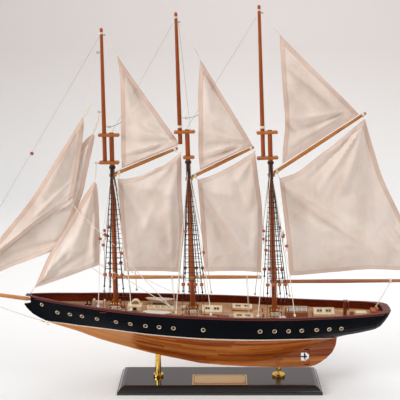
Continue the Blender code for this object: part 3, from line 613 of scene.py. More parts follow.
def head_gear():
    """The bobstay with its ring and bottle screw, and the bow's eye and pin."""
    brass = Shape()
    brass.ring((-287.3, -1.2, 107.6), (0.2, 1, 0), 2.3, 0.45)
    brass.tube([(-286.4, 0, 113), (-286.9, -0.6, 110.4), (-287.2, -1.2, 109.6)], 0.5)
    brass.tube([(-289.3, -1, 108.6), (-292.5, -0.6, 109.9)], 0.4)
    brass.lathe([(0.5, -3.2), (1.0, -2.4), (1.0, 2.4), (0.5, 3.2)], (-295.5, -0.4, 111.2),
                (-0.93, 0.05, 0.36), 10)
    brass.ring((-299.2, -0.2, 112.6), (0, 1, 0.2), 1.4, 0.35, 12)
    brass.lathe([(0.8, 0), (0.8, 1.2), (0.5, 1.6), (0.5, 6.5), (0.9, 7.2), (0.4, 7.8)],
                (-282.5, -8.5, deck_at(-282.5) + 0.2))
    brass.build("bow_fittings", "brass")
    stay = Shape()
    stay.tube(line((-300.4, -0.2, 113.1), (-443, 0, 165.6), 16, 1.2), 0.35)
    stay.build("bobstay", "stay")


def stern_post():
    """The post's facing beside the rudder stock, and the heel and head straps."""
    wooden, dark = Shape(), Shape()
    wooden.box((0.44, 4.2, 13.0), (150.34, 0, 37.3), bevel=0.1)
    wooden.box((0.44, 4.2, 13.6), (150.34, 0, 60.0), bevel=0.1)
    for z in (35, 62):
        for way in (-1, 1):
            dark.box((7.5, 0.35, 1.6), (146.2, way * 2.4, z), bevel=0.1)
    wooden.build("stern_post_facing", "hull")
    dark.build("rudder_straps", "dark_metal")


def name_plate_border():
    low, high = (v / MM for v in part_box("name_plate"))
    shape = Shape()
    x, y, z = high.x - 3, (high.y - low.y) / 2 - 3, high.z + 0.12
    middle = (high.y + low.y) / 2
    for way in (-1, 1):
        shape.box((2 * x + 0.9, 0.9, 0.36), (0, middle + way * y, z), bevel=0.12)
        shape.box((0.9, 2 * y + 0.9, 0.36), (way * x, middle, z), bevel=0.12)
    for px in (-1, 1):
        for py in (-1, 1):
            shape.lathe([(1.0, -0.1), (1.0, 0.3), (0.7, 0.55), (0.2, 0.65)],
                        (px * (x - 3.6), middle + py * (y - 3.4), high.z), steps=12)
    shape.build("name_plate_border", "aged_brass")


# ---------------------------------------------------------------- sails

SAILS = {
    "fore_gaff_sail": {
        "body": "fore_rig", "y": 0, "camber": -3.0, "rests": ("fore_gaff", "fore_boom"),
        "luff": ((-158, 199), (-160.5, 255), (-164.5, 354)),
        "head": ((-164.5, 354), (-147, 355), (-129, 359.5), (-113, 366.8), (-102, 372.3), (-89.5, 377),
                 (-80, 384.1), (-71.4, 390.4), (-62.5, 397.5)),
        "leech": ((-66, 197.5), (-62, 232), (-58.5, 272), (-62, 335), (-61.8, 372), (-62.5, 397.5)),
        "foot": ((-158, 199), (-125, 199.5), (-90, 199), (-66, 197.5)),
        "folds": ((-160, 348, -72, 330, 9, 1.3), (-64, 392, -86, 300, 8, 1.2),
                  (-64, 392, -110, 345, 6, 1.0), (-150, 210, -146, 330, 10, -1.0),
                  (-78, 212, -80, 330, 8, 1.0), (-160, 345, -74, 212, 12, 1.4),
                  (-112, 300, -134, 250, 12, 1.8), (-140, 350, -70, 388, 3, 1.2)),
    },
    "main_gaff_sail": {
        "body": "main_rig", "y": 0, "camber": -3.0, "rests": ("main_gaff", "main_boom"),
        "luff": ((-26, 198), (-29.5, 262), (-36, 352.5)),
        "head": ((-36, 352.5), (-20, 357.5), (-5, 363.4), (9, 370.7), (22, 377.5), (38, 387.6), (56, 399.5)),
        "leech": ((68, 197.5), (69, 230), (70, 262), (68, 310), (62, 355), (56, 399.5)),
        "foot": ((-26, 198), (10, 199.4), (40, 199.2), (68, 197.5)),
        "folds": ((54, 392, 20, 340, 7, 1.3), (56, 392, 46, 290, 9, 1.2), (-34, 342, 40, 320, 9, 1.0),
                  (-22, 210, -22, 330, 9, -1.0), (56, 215, 60, 330, 8, 0.9), (-30, 340, 66, 208, 11, 2.2),
                  (-34, 330, 30, 214, 9, -1.3), (20, 372, 40, 300, 10, -1.2)),
    },
    "mizzen_gaff_sail": {
        "body": "mizzen_rig", "y": 0, "camber": -5.0, "rests": ("mizzen_gaff", "mizzen_boom"),
        "luff": ((115.5, 191), (108, 262), (95.8, 355)),
        "head": ((95.8, 355), (112, 360), (128, 367.3), (154, 388.5), (186, 413.4), (214, 438.2), (230, 451)),
        "leech": ((333.5, 201), (316, 246), (294, 293), (264, 352), (246, 402), (230, 451)),
        "foot": ((115.5, 191), (146, 193.5), (178, 196.5), (241, 202), (298, 201), (333.5, 201)),
        "folds": ((104, 345, 320, 214, 12, 4.2), (112, 330, 250, 240, 10, -1.6),
                  (120, 300, 290, 214, 12, 1.6), (292, 286, 330, 214, 3.5, 1.5),
                  (282, 276, 326, 212, 3, -1.3), (272, 268, 322, 212, 3.5, 1.4),
                  (262, 258, 316, 210, 3, -1.1), (226, 440, 168, 350, 4, 1.7),
                  (224, 440, 152, 362, 3.4, -1.4), (222, 438, 140, 370, 3.2, 1.5),
                  (220, 436, 128, 362, 3, -1.2), (228, 440, 200, 340, 6, 1.3),
                  (230, 438, 246, 340, 8, -1.5), (180, 320, 240, 300, 18, 1.2)),
    },
    "fore_topsail": {
        "body": "fore_rig", "y": 0, "camber": -3.0, "rests": ("fore_gaff", "fore_topmast"),
        "luff": ((-157.5, 371.8), (-158.3, 405), (-157.5, 433), (-156.8, 512), (-161, 551)),
        "head": ((-161, 551), (-159.6, 549)),
        "leech": ((-68, 409), (-69, 417.5), (-98, 459), (-130, 505), (-159.6, 549)),
        "foot": ((-157.5, 371.8), (-135, 381.1), (-110, 391.5), (-88, 400.6), (-68, 409)),
        "folds": ((-72, 418, -150, 436, 5, 1.6), (-72, 418, -152, 416, 4.5, -1.3),
                  (-74, 417, -154, 396, 5, 1.5), (-74, 418, -144, 470, 8, 1.8),
                  (-158, 540, -136, 452, 8, 1.6), (-158, 530, -112, 462, 5, -1.4),
                  (-148, 379, -72, 411, 3.5, 1.8), (-140, 394, -84, 412, 4, -1.5),
                  (-120, 452, -96, 436, 9, 1.3)),
        "pucker": 1.2,
    },
    "main_topsail": {
        "body": "main_rig", "y": 0, "camber": -3.0, "rests": ("main_gaff", "main_topmast"),
        "luff": ((-32, 368.6), (-34.5, 400), (-34, 440), (-34.2, 497), (-31, 545)),
        "head": ((-31, 545), (-29.6, 543)),
        "leech": ((50.5, 409), (49.5, 413.5), (22, 459), (-5, 503), (-29.6, 543)),
        "foot": ((-32, 368.6), (-14, 377.4), (8, 388.2), (30, 399), (50.5, 409)),
        "folds": ((46, 414, -26, 432, 5, 1.5), (46, 414, -28, 410, 4.5, -1.3), (44, 413, -28, 392, 5, 1.4),
                  (45, 416, -18, 462, 8, 1.7), (-30, 536, -12, 450, 8, 1.5), (-30, 530, 12, 462, 5, -1.3),
                  (-24, 376, 46, 410, 3.5, 1.8), (-18, 388, 36, 411, 4, -1.6),
                  (-20, 398, 40, 416, 3.5, 1.4)),
        "pucker": 1.0,
    },
    "mizzen_topsail": {
        "body": "mizzen_rig", "y": 0, "camber": -4.0, "rests": ("mizzen_gaff", "mizzen_topmast"),
        "luff": ((100.5, 378.6), (101, 405), (103.5, 433), (102.8, 457), (98, 508), (92.5, 583)),
        "head": ((92.5, 583), (94, 581.5)),
        "leech": ((219.5, 458), (213.5, 465.5), (172, 506), (130, 546), (94, 581.5)),
        "foot": ((100.5, 378.6), (128, 397), (160, 418.4), (190, 438.4), (219.5, 458)),
        "folds": ((100, 560, 206, 468, 9, 2.4), (100, 535, 190, 462, 9, -2.2), (108, 505, 170, 455, 8, 1.6),
                  (206, 464, 116, 452, 5, 1.3), (204, 463, 116, 430, 4, -1.2), (200, 460, 114, 412, 5, 1.3),
                  (104, 460, 132, 440, 5, 1.2), (104, 448, 128, 424, 4, -1.0)),
        "pucker": 1.0,
    },
    "flying_jib": {
        "body": "ship", "y": -5, "camber": -5.0, "rests": ("bowsprit", "fore_topmast"),
        "luff": ((-430, 171), (-362, 253), (-306, 320), (-262, 386), (-217.5, 455)),
        "head": ((-217.5, 455), (-216, 453.5)),
        "leech": ((-239, 314), (-228, 365), (-217, 430), (-216, 453.5)),
        "foot": ((-430, 171), (-392, 201), (-361, 227), (-297, 279), (-262, 303), (-239, 314)),
        "folds": ((-243, 314, -404, 190, 5, 2.3), (-246, 318, -400, 200, 4, -1.4),
                  (-250, 326, -392, 212, 4, 1.3), (-222, 440, -300, 300, 12, 2.2),
                  (-224, 440, -252, 330, 9, -1.4), (-248, 344, -330, 262, 5, 1.4)),
    },
    "jib": {
        "body": "ship", "y": 1.5, "camber": -2.0, "rests": ("bowsprit", "fore_topmast"),
        "luff": ((-413, 169), (-362, 235), (-300, 312), (-226, 405), (-203.5, 427)),
        "head": ((-203.5, 427), (-202, 425.5)),
        "leech": ((-258, 242), (-248, 268), (-224, 325), (-215, 360), (-201, 418), (-202, 425.5)),
        "foot": ((-413, 169), (-363, 198), (-318, 217), (-277, 233), (-258, 242)),
        "folds": ((-262, 244, -380, 180, 7, 1.8), (-262, 250, -350, 230, 6, -1.4),
                  (-206, 418, -246, 300, 8, 0.8)),
    },
    "staysail": {
        "body": "ship", "y": -5, "camber": -3.0, "rests": ("bowsprit", "fore_trestle_board"),
        "luff": ((-306, 172), (-278, 232), (-252, 272), (-219, 327), (-201.5, 351)),
        "head": ((-201.5, 351), (-200, 349.5)),
        "leech": ((-197.5, 211.5), (-196, 270), (-197, 336), (-200, 349.5)),
        "foot": ((-306, 172), (-275, 182.5), (-245, 193.5), (-197.5, 211.5)),
        "folds": ((-202, 342, -250, 210, 8, 1.6), (-201, 340, -222, 216, 6, -1.3),
                  (-300, 178, -232, 262, 6, 1.5), (-298, 178, -216, 236, 5, -1.2),
                  (-290, 184, -262, 246, 4, 1.2), (-208, 216, -206, 320, 6, 1.0)),
    },
}
HEM_MM = 7.2
# How much of the hem's painted shade stays along the foot and head.
FOOT_HEM_SHADE_SHARE = 0.45
FOLD_GAIN = 3.1
CREASE_MM = 0.9
CLOTH_HALF, HEM_EXTRA = 0.17, 0.16
CELL_MM = 2.3


def smooth_path(points, count):
    """count + 1 points evenly along a smooth curve through the given ones."""
    pts = [np.array(p, float) for p in points]
    if len(pts) == 2:
        return np.array([pts[0] + (pts[1] - pts[0]) * i / count for i in range(count + 1)])
    dense = []
    for i in range(len(pts) - 1):
        a, b = pts[max(i - 1, 0)], pts[i]
        c, d = pts[i + 1], pts[min(i + 2, len(pts) - 1)]
        for t in np.linspace(0, 1, 16, endpoint=False):
            dense.append(b + 0.5 * t * (c - a + t * (2 * a - 5 * b + 4 * c - d + t * (3 * (b - c) + d - a))))
    dense.append(pts[-1])
    dense = np.array(dense)
    lengths = np.concatenate([[0], np.cumsum(np.linalg.norm(np.diff(dense, axis=0), axis=1))])
    wanted = np.linspace(0, lengths[-1], count + 1)
    return np.stack([np.interp(wanted, lengths, dense[:, k]) for k in (0, 1)], axis=1)


def edge_distance(points, outline):
    """Each point's distance to a closed outline, and how far along the outline its nearest spot is."""
    best = np.full(len(points), 1e9)
    along = np.zeros(len(points))
    travelled = 0.0
    for a, b in zip(outline, np.roll(outline, -1, axis=0)):
        d = b - a
        length = float(np.hypot(*d))
        if length < 1e-6:
            continue
        t = np.clip(((points - a) @ d) / length**2, 0, 1)
        gap = np.linalg.norm(points - a - t[:, None] * d, axis=1)
        nearer = gap < best
        best[nearer] = gap[nearer]
        along[nearer] = travelled + t[nearer] * length
        travelled += length
    return best, along


def sail_depth(spec, points, gaps, along):
    """How far each point of a sail stands out of its plane: camber, folds, puckers and slack."""
    depth = spec["camber"] * np.clip(gaps / 45, 0, 1) ** 0.8
    for x0, z0, x1, z1, width, height in spec["folds"]:
        a, d = np.array((x0, z0)), np.array((x1 - x0, z1 - z0), float)
        length = np.hypot(*d)
        t = ((points - a) @ d) / length**2
        across = ((points[:, 0] - x0) * d[1] - (points[:, 1] - z0) * d[0]) / length
        inside = np.clip(t, 0, 1)
        widen = width * (0.45 + 0.75 * inside)
        fade = np.exp(-((t - inside) * length / 14) ** 2) * np.sin(np.pi * np.clip(inside, 0.06, 0.94)) ** 0.6
        depth -= FOLD_GAIN * height * fade * np.exp(-(across / widen) ** 2)
    slack = np.array([noise.noise(Vector((x / 38, 7.3, z / 46))) * 3.2
                      + noise.noise(Vector((x / 15, 2.1, z / 19))) * 0.8 for x, z in points])
    depth += slack * np.clip(gaps / 10, 0.25, 1)
    ridges = np.array([abs(noise.noise(Vector((x / 27 + z / 70, 4.4, z / 27 - x / 90)))) for x, z in points])
    creases = (1 - np.minimum(1.0, 2 * ridges)) ** 3
    depth -= CREASE_MM * creases * np.clip(gaps / 8, 0.2, 1)
    wave = np.sin(along / 4.1 + 1.7 * np.sin(along / 17)) * np.exp(-gaps / 5)
    return depth + 0.28 * spec.get("pucker", 0.8) * wave


def make_sail(name, spec):
    span = max(np.ptp([p[0] for p in spec["foot"]]), np.ptp([p[0] for p in spec["head"]]), 40)
    columns = int(span / CELL_MM)
    rows = int(np.hypot(*(np.array(spec["luff"][-1]) - np.array(spec["luff"][0]))) / CELL_MM)
    luff, leech = smooth_path(spec["luff"], rows), smooth_path(spec["leech"], rows)
    foot, head = smooth_path(spec["foot"], columns), smooth_path(spec["head"], columns)
    u = np.linspace(0, 1, columns + 1)[None, :, None]
    v = np.linspace(0, 1, rows + 1)[:, None, None]
    grid = ((1 - v) * foot[None] + v * head[None] + (1 - u) * luff[:, None] + u * leech[:, None]
            - (1 - u) * (1 - v) * foot[0] - u * (1 - v) * foot[-1]
            - (1 - u) * v * head[0] - u * v * head[-1])
    points = grid.reshape(-1, 2)
    outline = np.concatenate([foot[:-1], leech[:-1], head[::-1][:-1], luff[::-1][:-1]])
    gaps, along = edge_distance(points, outline)
    depth = sail_depth(spec, points, gaps, along) + spec["y"]
    half = CLOTH_HALF + HEM_EXTRA * np.clip((HEM_MM - gaps) / 0.8, 0, 1)
    count = len(points)
    verts = [(x, y - h, z) for (x, z), y, h in zip(points, depth, half)]
    verts += [(x, y + h, z) for (x, z), y, h in zip(points, depth, half)]
    wide = columns + 1
    faces = []
    for r in range(rows):
        for c in range(columns):
            a = r * wide + c
            faces.append((a, a + 1, a + 1 + wide, a + wide))
            faces.append((a + count, a + wide + count, a + 1 + wide + count, a + 1 + count))
    rim = ([c for c in range(columns)] + [r * wide + columns for r in range(rows)]
           + [rows * wide + columns - c for c in range(columns)] + [(rows - r) * wide for r in range(rows)])
    faces += [(rim[i - 1], rim[i - 1] + count, rim[i] + count, rim[i]) for i in range(len(rim))]
    obj = solid(name + "_cloth", verts, faces, "sail", 60)
    foot_gap = edge_distance(points, np.concatenate([foot, foot[::-1]]))[0]
    head_gap = edge_distance(points, np.concatenate([head, head[::-1]]))[0]
    # The hem's painted shade is weaker along the foot and head.
    share = np.where(np.minimum(foot_gap, head_gap) <= gaps + 0.4, FOOT_HEM_SHADE_SHARE, 1.0)
    for label, values in (("edge_mm", gaps), ("along_mm", along), ("hem_shade_share", share)):
        attribute = obj.data.attributes.new(label, "FLOAT", "POINT")
        attribute.data.foreach_set("value", np.tile(values, 2).astype(np.float32))
    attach(obj, spec["body"])
    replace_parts(obj, name)
    chord = luff[-1] - luff[0]
    chord /= np.hypot(*chord)


# ---------------------------------------------------------------- rigging

MASTS = {
    "fore": {"x": -173.1, "foot": 135.6, "rake": 0.0, "cap": 425.5, "trestle": 381.0, "truck": 593.0,
             "deadeye": 203, "jaw": 188.7, "gaff": 360.5},
    "main": {"x": -44.4, "foot": 127.4, "rake": 1.5, "cap": 430.5, "trestle": 389.5, "truck": 617.0,
             "deadeye": 190.5, "jaw": 188.7, "gaff": 354.5},
    "mizzen": {"x": 91.7, "foot": 122.6, "rake": 2.3, "cap": 429.5, "trestle": 388.5, "truck": 628.0,
               "deadeye": 189, "jaw": 180.9, "gaff": 360.5},
}
SHROUD_FEET = (-16.0, -4.5, 8.0, 20.5)
RATLINE_STEP = 8.6
TOPMAST_AHEAD = 11.5


def mast_x(name, z):
    mast = MASTS[name]
    return mast["x"] - math.tan(math.radians(mast["rake"])) * (z - mast["foot"])


def shrouds(name, side):
    """Four black shrouds a side: seizing, legs with ratlines, bead deadeyes and lanyards to the rail."""
    mast = MASTS[name]
    label = "%s_shrouds_%s" % (name, "port" if side > 0 else "starboard")
    top = mast["trestle"] - 9.0
    head_x = mast_x(name, top)
    black, beads = Shape(), Shape()
    legs = []
    for i, aside in enumerate(SHROUD_FEET):
        x = mast["x"] + aside
        hull_point, _ = skin(x, rail_at(x) - 1.5, side)
        foot = Vector((x, hull_point.y - side * 0.2, rail_at(x) + 2.4))
        head = Vector((head_x - 1.2 + 0.8 * i, side * (5.6 + 0.3 * i), top - 1.2 * i))
        legs.append((head, foot))
    for i, (head, foot) in enumerate(legs):
        share = (mast["deadeye"] - foot.z) / (head.z - foot.z)
        eye = foot.lerp(head, share)
        above = foot.lerp(head, share + 0.014)
        black.tube(line(head, above, 14), 0.72, 6)
        for turn in range(5):
            black.ring(foot.lerp(head, share + 0.018 + turn * 0.006), head - foot, 0.62, 0.28, 8, 5)
        beads.bead(eye, 3.2, (0, side, 0.15))
        lower = foot.lerp(head, 0.16)
        for lean in (-0.7, 0.0, 0.7):
            black.tube(line(eye + Vector((lean, 0, -1.8)), lower + Vector((lean * 0.8, 0, 1.2)), 4), 0.34, 5)
        black.bead(lower, 1.7, (0, side, 0), 10)
        black.tube([lower, foot, foot + Vector((0, 0, -3.6))], 0.42, 6)
        black.tube([foot + Vector((-0.9, 0, -1.0)), foot + Vector((0.9, 0, -1.0))], 0.4, 6)
    black.tube([leg[1].lerp(leg[0], 0.235) for leg in legs], 0.34, 6)
    z = mast["deadeye"] + 10
    while z < mast["gaff"] - 14:
        row = []
        for head, foot in legs:
            t = (z - foot.z) / (head.z - foot.z)
            row.append(foot.lerp(head, t))
        path = []
        for a, b in zip(row, row[1:]):
            path += line(a, b, 3, 0.25)[:-1]
        black.tube(path + [row[-1]], 0.46, 5)
        for spot in row:
            black.bead(spot, 1.1, (1, 0, 0), 7)
        z += RATLINE_STEP
    neck = Vector((head_x, 0, top))
    for turn in range(9):
        black.ring(neck + Vector((0, side * 5.9, 1.2 - turn * 1.15)), (0, 0.1 * side, 1), 1.0 + 0.05 * turn,
                   0.42, 10, 5)
    for lean in (-2.4, 0.8, 2.9):
        black.tube([neck + Vector((lean * 0.3, side * 6.2, -8)), neck + Vector((lean * 0.8, side * 7.4, -12)),
                    neck + Vector((lean, side * 7.9, -17))], 0.3, 5, 0.12)
    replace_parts(black.build(label + "_threads", "black"), label)
    beads.build(label + "_deadeyes", "bead")


def masthead_gear():
    """Collars round the mastheads, whippings, eyelets, beads and the stays between the masts."""
    black, cream, brass, beads, stays = Shape(), Shape(), Shape(), Shape(), Shape()
    for name, mast in MASTS.items():
        rake = math.radians(mast["rake"])
        up = Vector((-math.sin(rake), 0, math.cos(rake)))
        for turn in range(4):
            z = mast["trestle"] - 6.2 - turn * 1.1
            black.ring((mast_x(name, z), 0, z), up, 4.7, 0.5, 24, 6)
        if name != "fore":
            for turn in range(4):
                z = mast["cap"] + 7.2 + turn * 0.95
                cream.ring((mast_x(name, z) - TOPMAST_AHEAD, 0, z), up, 3.7, 0.5, 24, 6)
        z = mast["truck"] - 9
        for turn in range(3):
            cream.ring((mast_x(name, z + turn) - TOPMAST_AHEAD, 0, z + turn), up, 2.9, 0.45, 20, 6)
        z = mast["foot"] + 2.0
        for turn in range(3):
            cream.ring((mast_x(name, z), 0, z + turn * 1.1 - 0.4), up, 4.9, 0.55, 24, 6)

    for root, x, z, size in ((-187.0, -191.2, 555.3, 1.6), (-187.4, -191.8, 462.2, 1.6),
                             (-193.6, -198.6, 380.0, 1.6), (-181.8, -175.8, 438.5, 1.6),
                             (-61.8, -53.6, 452.7, 1.7), (-66.4, -63.4, 602.0, 1.1),
                             (-182.6, -179.8, 582.0, 1.1), (62.2, 65.2, 616.0, 1.1)):
        way = 1 if x > root else -1
        brass.tube([(root, 0, z), (x - way * size * 0.8, 0, z)], 0.42, 6)
        brass.ring((x, 0, z), (0, 1, 0.1), size, 0.4, 16, 6)

    stays.tube(line((-186.6, 0, 582), (-443.5, 0, 171.5), 24, 1.5), 0.3)
    stays.tube(line((-73, 0, 600), (-172, 0, 430.5), 16, 1), 0.28)
    stays.tube(line((56, 0, 609), (-53.5, 0, 435.5), 16, 1), 0.28)
    stays.tube(line((-64.8, 2.2, 602), (-47.0, 2.2, 433.2), 12), 0.28)
    stays.tube(line((62.4, 2.2, 616), (64.5, 5.0, 433.2), 12), 0.24)
    beads.bead((-301.4, 0, 395.6), 3.1, (0.53, 0, 0.85))
    black.build("masthead_collars", "black")
    cream.build("mast_whippings", "cream")
    brass.build("mast_eyelets", "aged_brass")
    stays.build("stays", "stay")
    beads.build("forestay_bead", "bead")


def headsail_threads():
    """Short lines at the headsails' corners, and their sheets to the deck."""
    cream = Shape()
    cream.tube(line((-216.8, -5, 455), (-191.6, 0, 553.8), 12, -1.5), 0.34)
    cream.tube(line((-216.8, -5, 454), (-204.1, -3, 475), 6, -1.2), 1.0)
    cream.tube(line((-216.8, -5, 454), (-206, -4, 468), 5, 1.5), 0.9)
    for lean in (-0.9, 0.9):
        cream.tube(line((-203, 1.5, 425.5), (-193.3 + lean, 0, 449.5), 8, lean)
                   + [Vector((-192, 0, 460.8))], 0.8)
        cream.tube(line((-200.8, -5, 349.5), (-198.8, 0, 378.6), 8, 1.8 * lean), 0.8)
    cream.tube(line((-429, -5, 171.5), (-434, 0, 169.5), 3), 0.5)
    cream.tube(line((-412, 1.5, 169.3), (-416, 0, 167.5), 3), 0.5)
    cream.tube(line((-306, -5, 172.5), (-316.5, -2, 160), 6, 0.8), 0.5)
    cream.tube(line((-306, -5, 172.5), (-311, -4, 164), 5, -0.8), 0.4)
    for spot, r in (((-433, -1, 169.5), 3.0), ((-416, 0, 165.0), 3.1)):
        for turn in range(3):
            cream.ring((spot[0] - turn * 1.1, 0, 151.3 + (-322.5 - spot[0] + turn * 1.1) * 0.1417),
                       (1, 0, -0.14), r - 0.15, 0.5, 18, 6)
    knot = Vector((-239.5, -6, 314.5))
    cream.bead(knot, 1.3)
    cream.tube(line(knot, (-168, -22, 247.5), 14, 2.5)
               + line((-168, -22, 247.5), (-149.1, -30, 224.8), 4)[1:]
               + line((-149.1, -30, 224.8), (-73.7, -45, 147.3), 14, 0.8)[1:], 0.6)
    cream.tube(line((-198, -6, 212), (-160, -24, 199), 8, 1.5)
               + line((-160, -24, 199), (-74.5, -44, 150), 12, 1.0)[1:], 0.6)
    cream.tube(line((-198, -3, 212), (-152, 30, 190), 8, 2)
               + line((-152, 30, 190), (-80, 44, 148), 10, 1)[1:], 0.4)
    cream.tube(line((-258.5, 2, 242.5), (-170, 40, 160), 14, 3), 0.4)
    cream.build("headsail_threads", "cream")


RIGS = {
    "fore": {"boom_tip": (-56.5, 188.7), "gaff_tip": (-67.5, 404.5), "clew": (-66, 197.5),
             "peak": (-62.5, 397.5), "throat": (-164.5, 354), "tack": (-158, 199),
             "top_clew": (-68, 409), "top_tack": (-157.5, 371.8), "anchor": (-179.4, 581.2),
             "head": (-160.8, 551), "luff_eye": (-174, 438.5), "luff": (-158, 446)},
    "main": {"boom_tip": (69.5, 188.7), "gaff_tip": (54.2, 406.2), "clew": (68, 197.5),
             "peak": (56, 399), "throat": (-36, 352.5), "tack": (-26, 198),
             "top_clew": (50.5, 409), "top_tack": (-32, 368.6), "anchor": (-62.9, 601.2),
             "head": (-30.8, 545), "luff_eye": (-50.6, 452.7), "luff": (-34, 458)},
    "mizzen": {"boom_tip": (348, 182.7), "gaff_tip": (231.2, 460.8), "clew": (333.5, 201),
               "peak": (230, 451), "throat": (95.8, 355), "tack": (115.5, 191),
               "top_clew": (219.5, 458), "top_tack": (100.5, 378.6), "anchor": (65.8, 615.2),
               "head": (92.6, 583)},
}


def bending(shape, name, material):
    """Builds a thread on no body, with its placement baked into its mesh."""
    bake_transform(shape.build(name, material, None))


def rig_threads(name, places):
    """Lashings that hold one rig's two sails to its boom and gaff, and its topsail's halyard and tie."""
    mast, body = MASTS[name], name + "_rig"
    at = {key: Vector((x, 0, z)) for key, (x, z) in places.items()}
    jaw = Vector((mast_x(name, mast["jaw"]), 0, mast["jaw"]))
    gaff_root = Vector((mast_x(name, mast["gaff"]), 0, mast["gaff"]))
    boom_dir = (at["boom_tip"] - jaw).normalized()
    gaff_dir = (at["gaff_tip"] - gaff_root).normalized()
    boom_end, gaff_end = at["boom_tip"] - boom_dir * 5, at["gaff_tip"] - gaff_dir * 5
    cream = Shape()
    for spot, along in ((boom_end, boom_dir), (jaw + boom_dir * 13, boom_dir),
                        (gaff_end, gaff_dir), (gaff_root + gaff_dir * 12, gaff_dir)):
        size = 3.0 if (spot - jaw).length > 20 and (spot - gaff_root).length > 20 else 3.4
        for turn in range(4):
            cream.ring(spot + along * (turn * 1.0 - 1.5), along, size, 0.5, 18, 6)
    rise = Vector((0, 0, 3))
    for corner, aside, lift, spot, steps, sag, radius in (
            ("clew", -1.5, 1.5, boom_end + rise, 5, 0, 0.42),
            ("tack", 1, 1.5, jaw + boom_dir * 13 + rise, 5, -0.5, 0.42),
            ("peak", -1, -1.5, gaff_end - rise, 5, 0, 0.42),
            ("throat", 1.5, -1.5, gaff_root + gaff_dir * 12 - rise, 5, 0, 0.42),
            ("top_clew", -1.5, -0.5, at["gaff_tip"] - gaff_dir * 6 + rise, 4, 0, 0.4),
            ("top_tack", 1, 1.5, gaff_root + gaff_dir * 13 + rise, 4, 0, 0.4)):
        cream.tube(line(at[corner] + Vector((aside, 0, lift)), spot, steps, sag), radius)
    for corner in ("clew", "peak", "throat", "top_clew"):
        cream.bead(at[corner], 1.0, (0, 1, 0), 8)
    cream.build(name + "_lashings", "cream", body)
    brass = Shape()
    brass.tube(line(gaff_root + gaff_dir * 6.6, gaff_root + gaff_dir * 10.6, 2), 3.25, 16)
    brass.build(name + "_gaff_ferrule", "brass", body)
    start, end = at["anchor"], at["head"]
    foot, loop = end + Vector((0.3, 0, -1.5)), end.lerp(start, 0.42)
    thread = Shape()
    thread.tube(line(start, foot, 10, 0.6), 0.36)
    for way in (1, -1):
        thread.tube([foot, end.lerp(loop, 0.5) + Vector((1.1, 0.7, 0)) * way, loop], 0.8)
    thread.bead(loop, 1.6, (0, 1, 0), 10)
    bending(thread, name + "_topsail_halyard", "cream")
    if "luff_eye" in at:
        start, end = at["luff_eye"], at["luff"]
        thread = Shape()
        thread.tube(line(start, end + Vector((1.2, 0, 0)), 6, 0.8), 0.34)
        bending(thread, name + "_topsail_tie", "black")


def boom_sheets():
    """Lines from the booms to the deck."""
    shape = Shape()
    start, end = Vector((259, 0, 136.5)), Vector((281.2, 0, 178.6))
    shape.tube(line(start, end, 14, 0.8), 0.42)
    shape.tube(line(start + Vector((1.6, 0, 0)), end + Vector((1.8, 0, 0)), 14, 0.4), 0.36)
    for turn in range(4):
        shape.ring(end + Vector((turn * 1.0 - 0.5, 0, 3.6)), (1, 0, 0), 3.75, 0.45, 18, 6)
    bending(shape, "mizzen_sheet", "cream")
    for name, x, deck_x in (("fore", -80, -74), ("main", 44, 48)):
        start, end = Vector((deck_x, 0, deck_at(deck_x) + 0.5)), Vector((x, 0, 185.6))
        shape = Shape()
        shape.tube(line(start, end, 12, 0.5), 0.4)
        shape.tube(line(start + Vector((1.4, 0, 0)), end + Vector((2, 0, 0)), 12, 0.2), 0.34)
        for turn in range(3):
            shape.ring(end + Vector((turn * 1.0, 0, 3.1)), (1, 0, 0), 3.6, 0.42, 18, 6)
        bending(shape, name + "_sheet", "cream")


def falls():
    """Halyard falls beside the shrouds, made fast at the rail, with their beads and coils."""
    cream, beads, black = Shape(), Shape(), Shape()
    for top, foot in (((-145.2, -50, 198), (-142.7, -50, 149.5)), ((-65.2, -50, 216), (-70.6, -52, 145)),
                      ((-22.3, -50, 208), (-14.4, -55, 143)), ((66.9, -48, 208), (61.2, -54, 140)),
                      ((111.6, -46, 206.4), (120.6, -49, 139)), ((-193, -30, 240), (-197, -38, 151))):
        top, foot = Vector(top), Vector(foot)
        name = "fore" if top.x < -100 else "main" if top.x < 30 else "mizzen"
        head = Vector((mast_x(name, MASTS[name]["trestle"] - 12), -5.4, MASTS[name]["trestle"] - 12))
        for mirror in (1, -1):
            flip = Vector((1, mirror, 1))
            cream.tube(line(head * flip, top * flip, 14, 1.2)
                       + line(top * flip, foot * flip, 10)[1:], 0.62)
            for turn in range(3):
                cream.ring(foot * flip + Vector((0, 0, 2 - turn * 1.2)), (0.2, 0, 1), 1.5, 0.6, 12, 6)
    for x, z, y in ((-184.5, 267.4, -24), (-192.9, 261.4, -26), (-187.4, 251.3, -28), (-158.2, 238.5, -30),
                    (-55.3, 273.3, -26), (-26.8, 241.1, -36), (73.1, 259.7, -30), (73.7, 244.5, -34),
                    (100.8, 265.7, -30), (106.8, 251.3, -34)):
        for mirror in (1, -1):
            beads.bead((x, y * mirror, z), 2.9, (0.3, 0.2, 1))
            black.tube(line((x, y * mirror, z + 9), (x, y * mirror, z - 9), 4), 0.3, 5)
    cream.build("halyard_falls", "cream")
    beads.build("fairlead_beads", "bead")
    black.build("fairlead_threads", "black")


# ---------------------------------------------------------------- deck gear

HOUSES = {
    "main_skylight": (-13.0, 0, 33, 22, 5.6, 12.5),
    "port_skylight": (38.0, 23, 33, 19, 5.0, 8.6),
    "starboard_skylight": (38.5, -23, 32, 19, 5.0, 8.6),
    "aft_cabin": (128.0, 0, 36, 24, 8.6, 14.5),
    "aft_skylight": (173.0, 0, 34, 22, 5.8, 12.5),
}


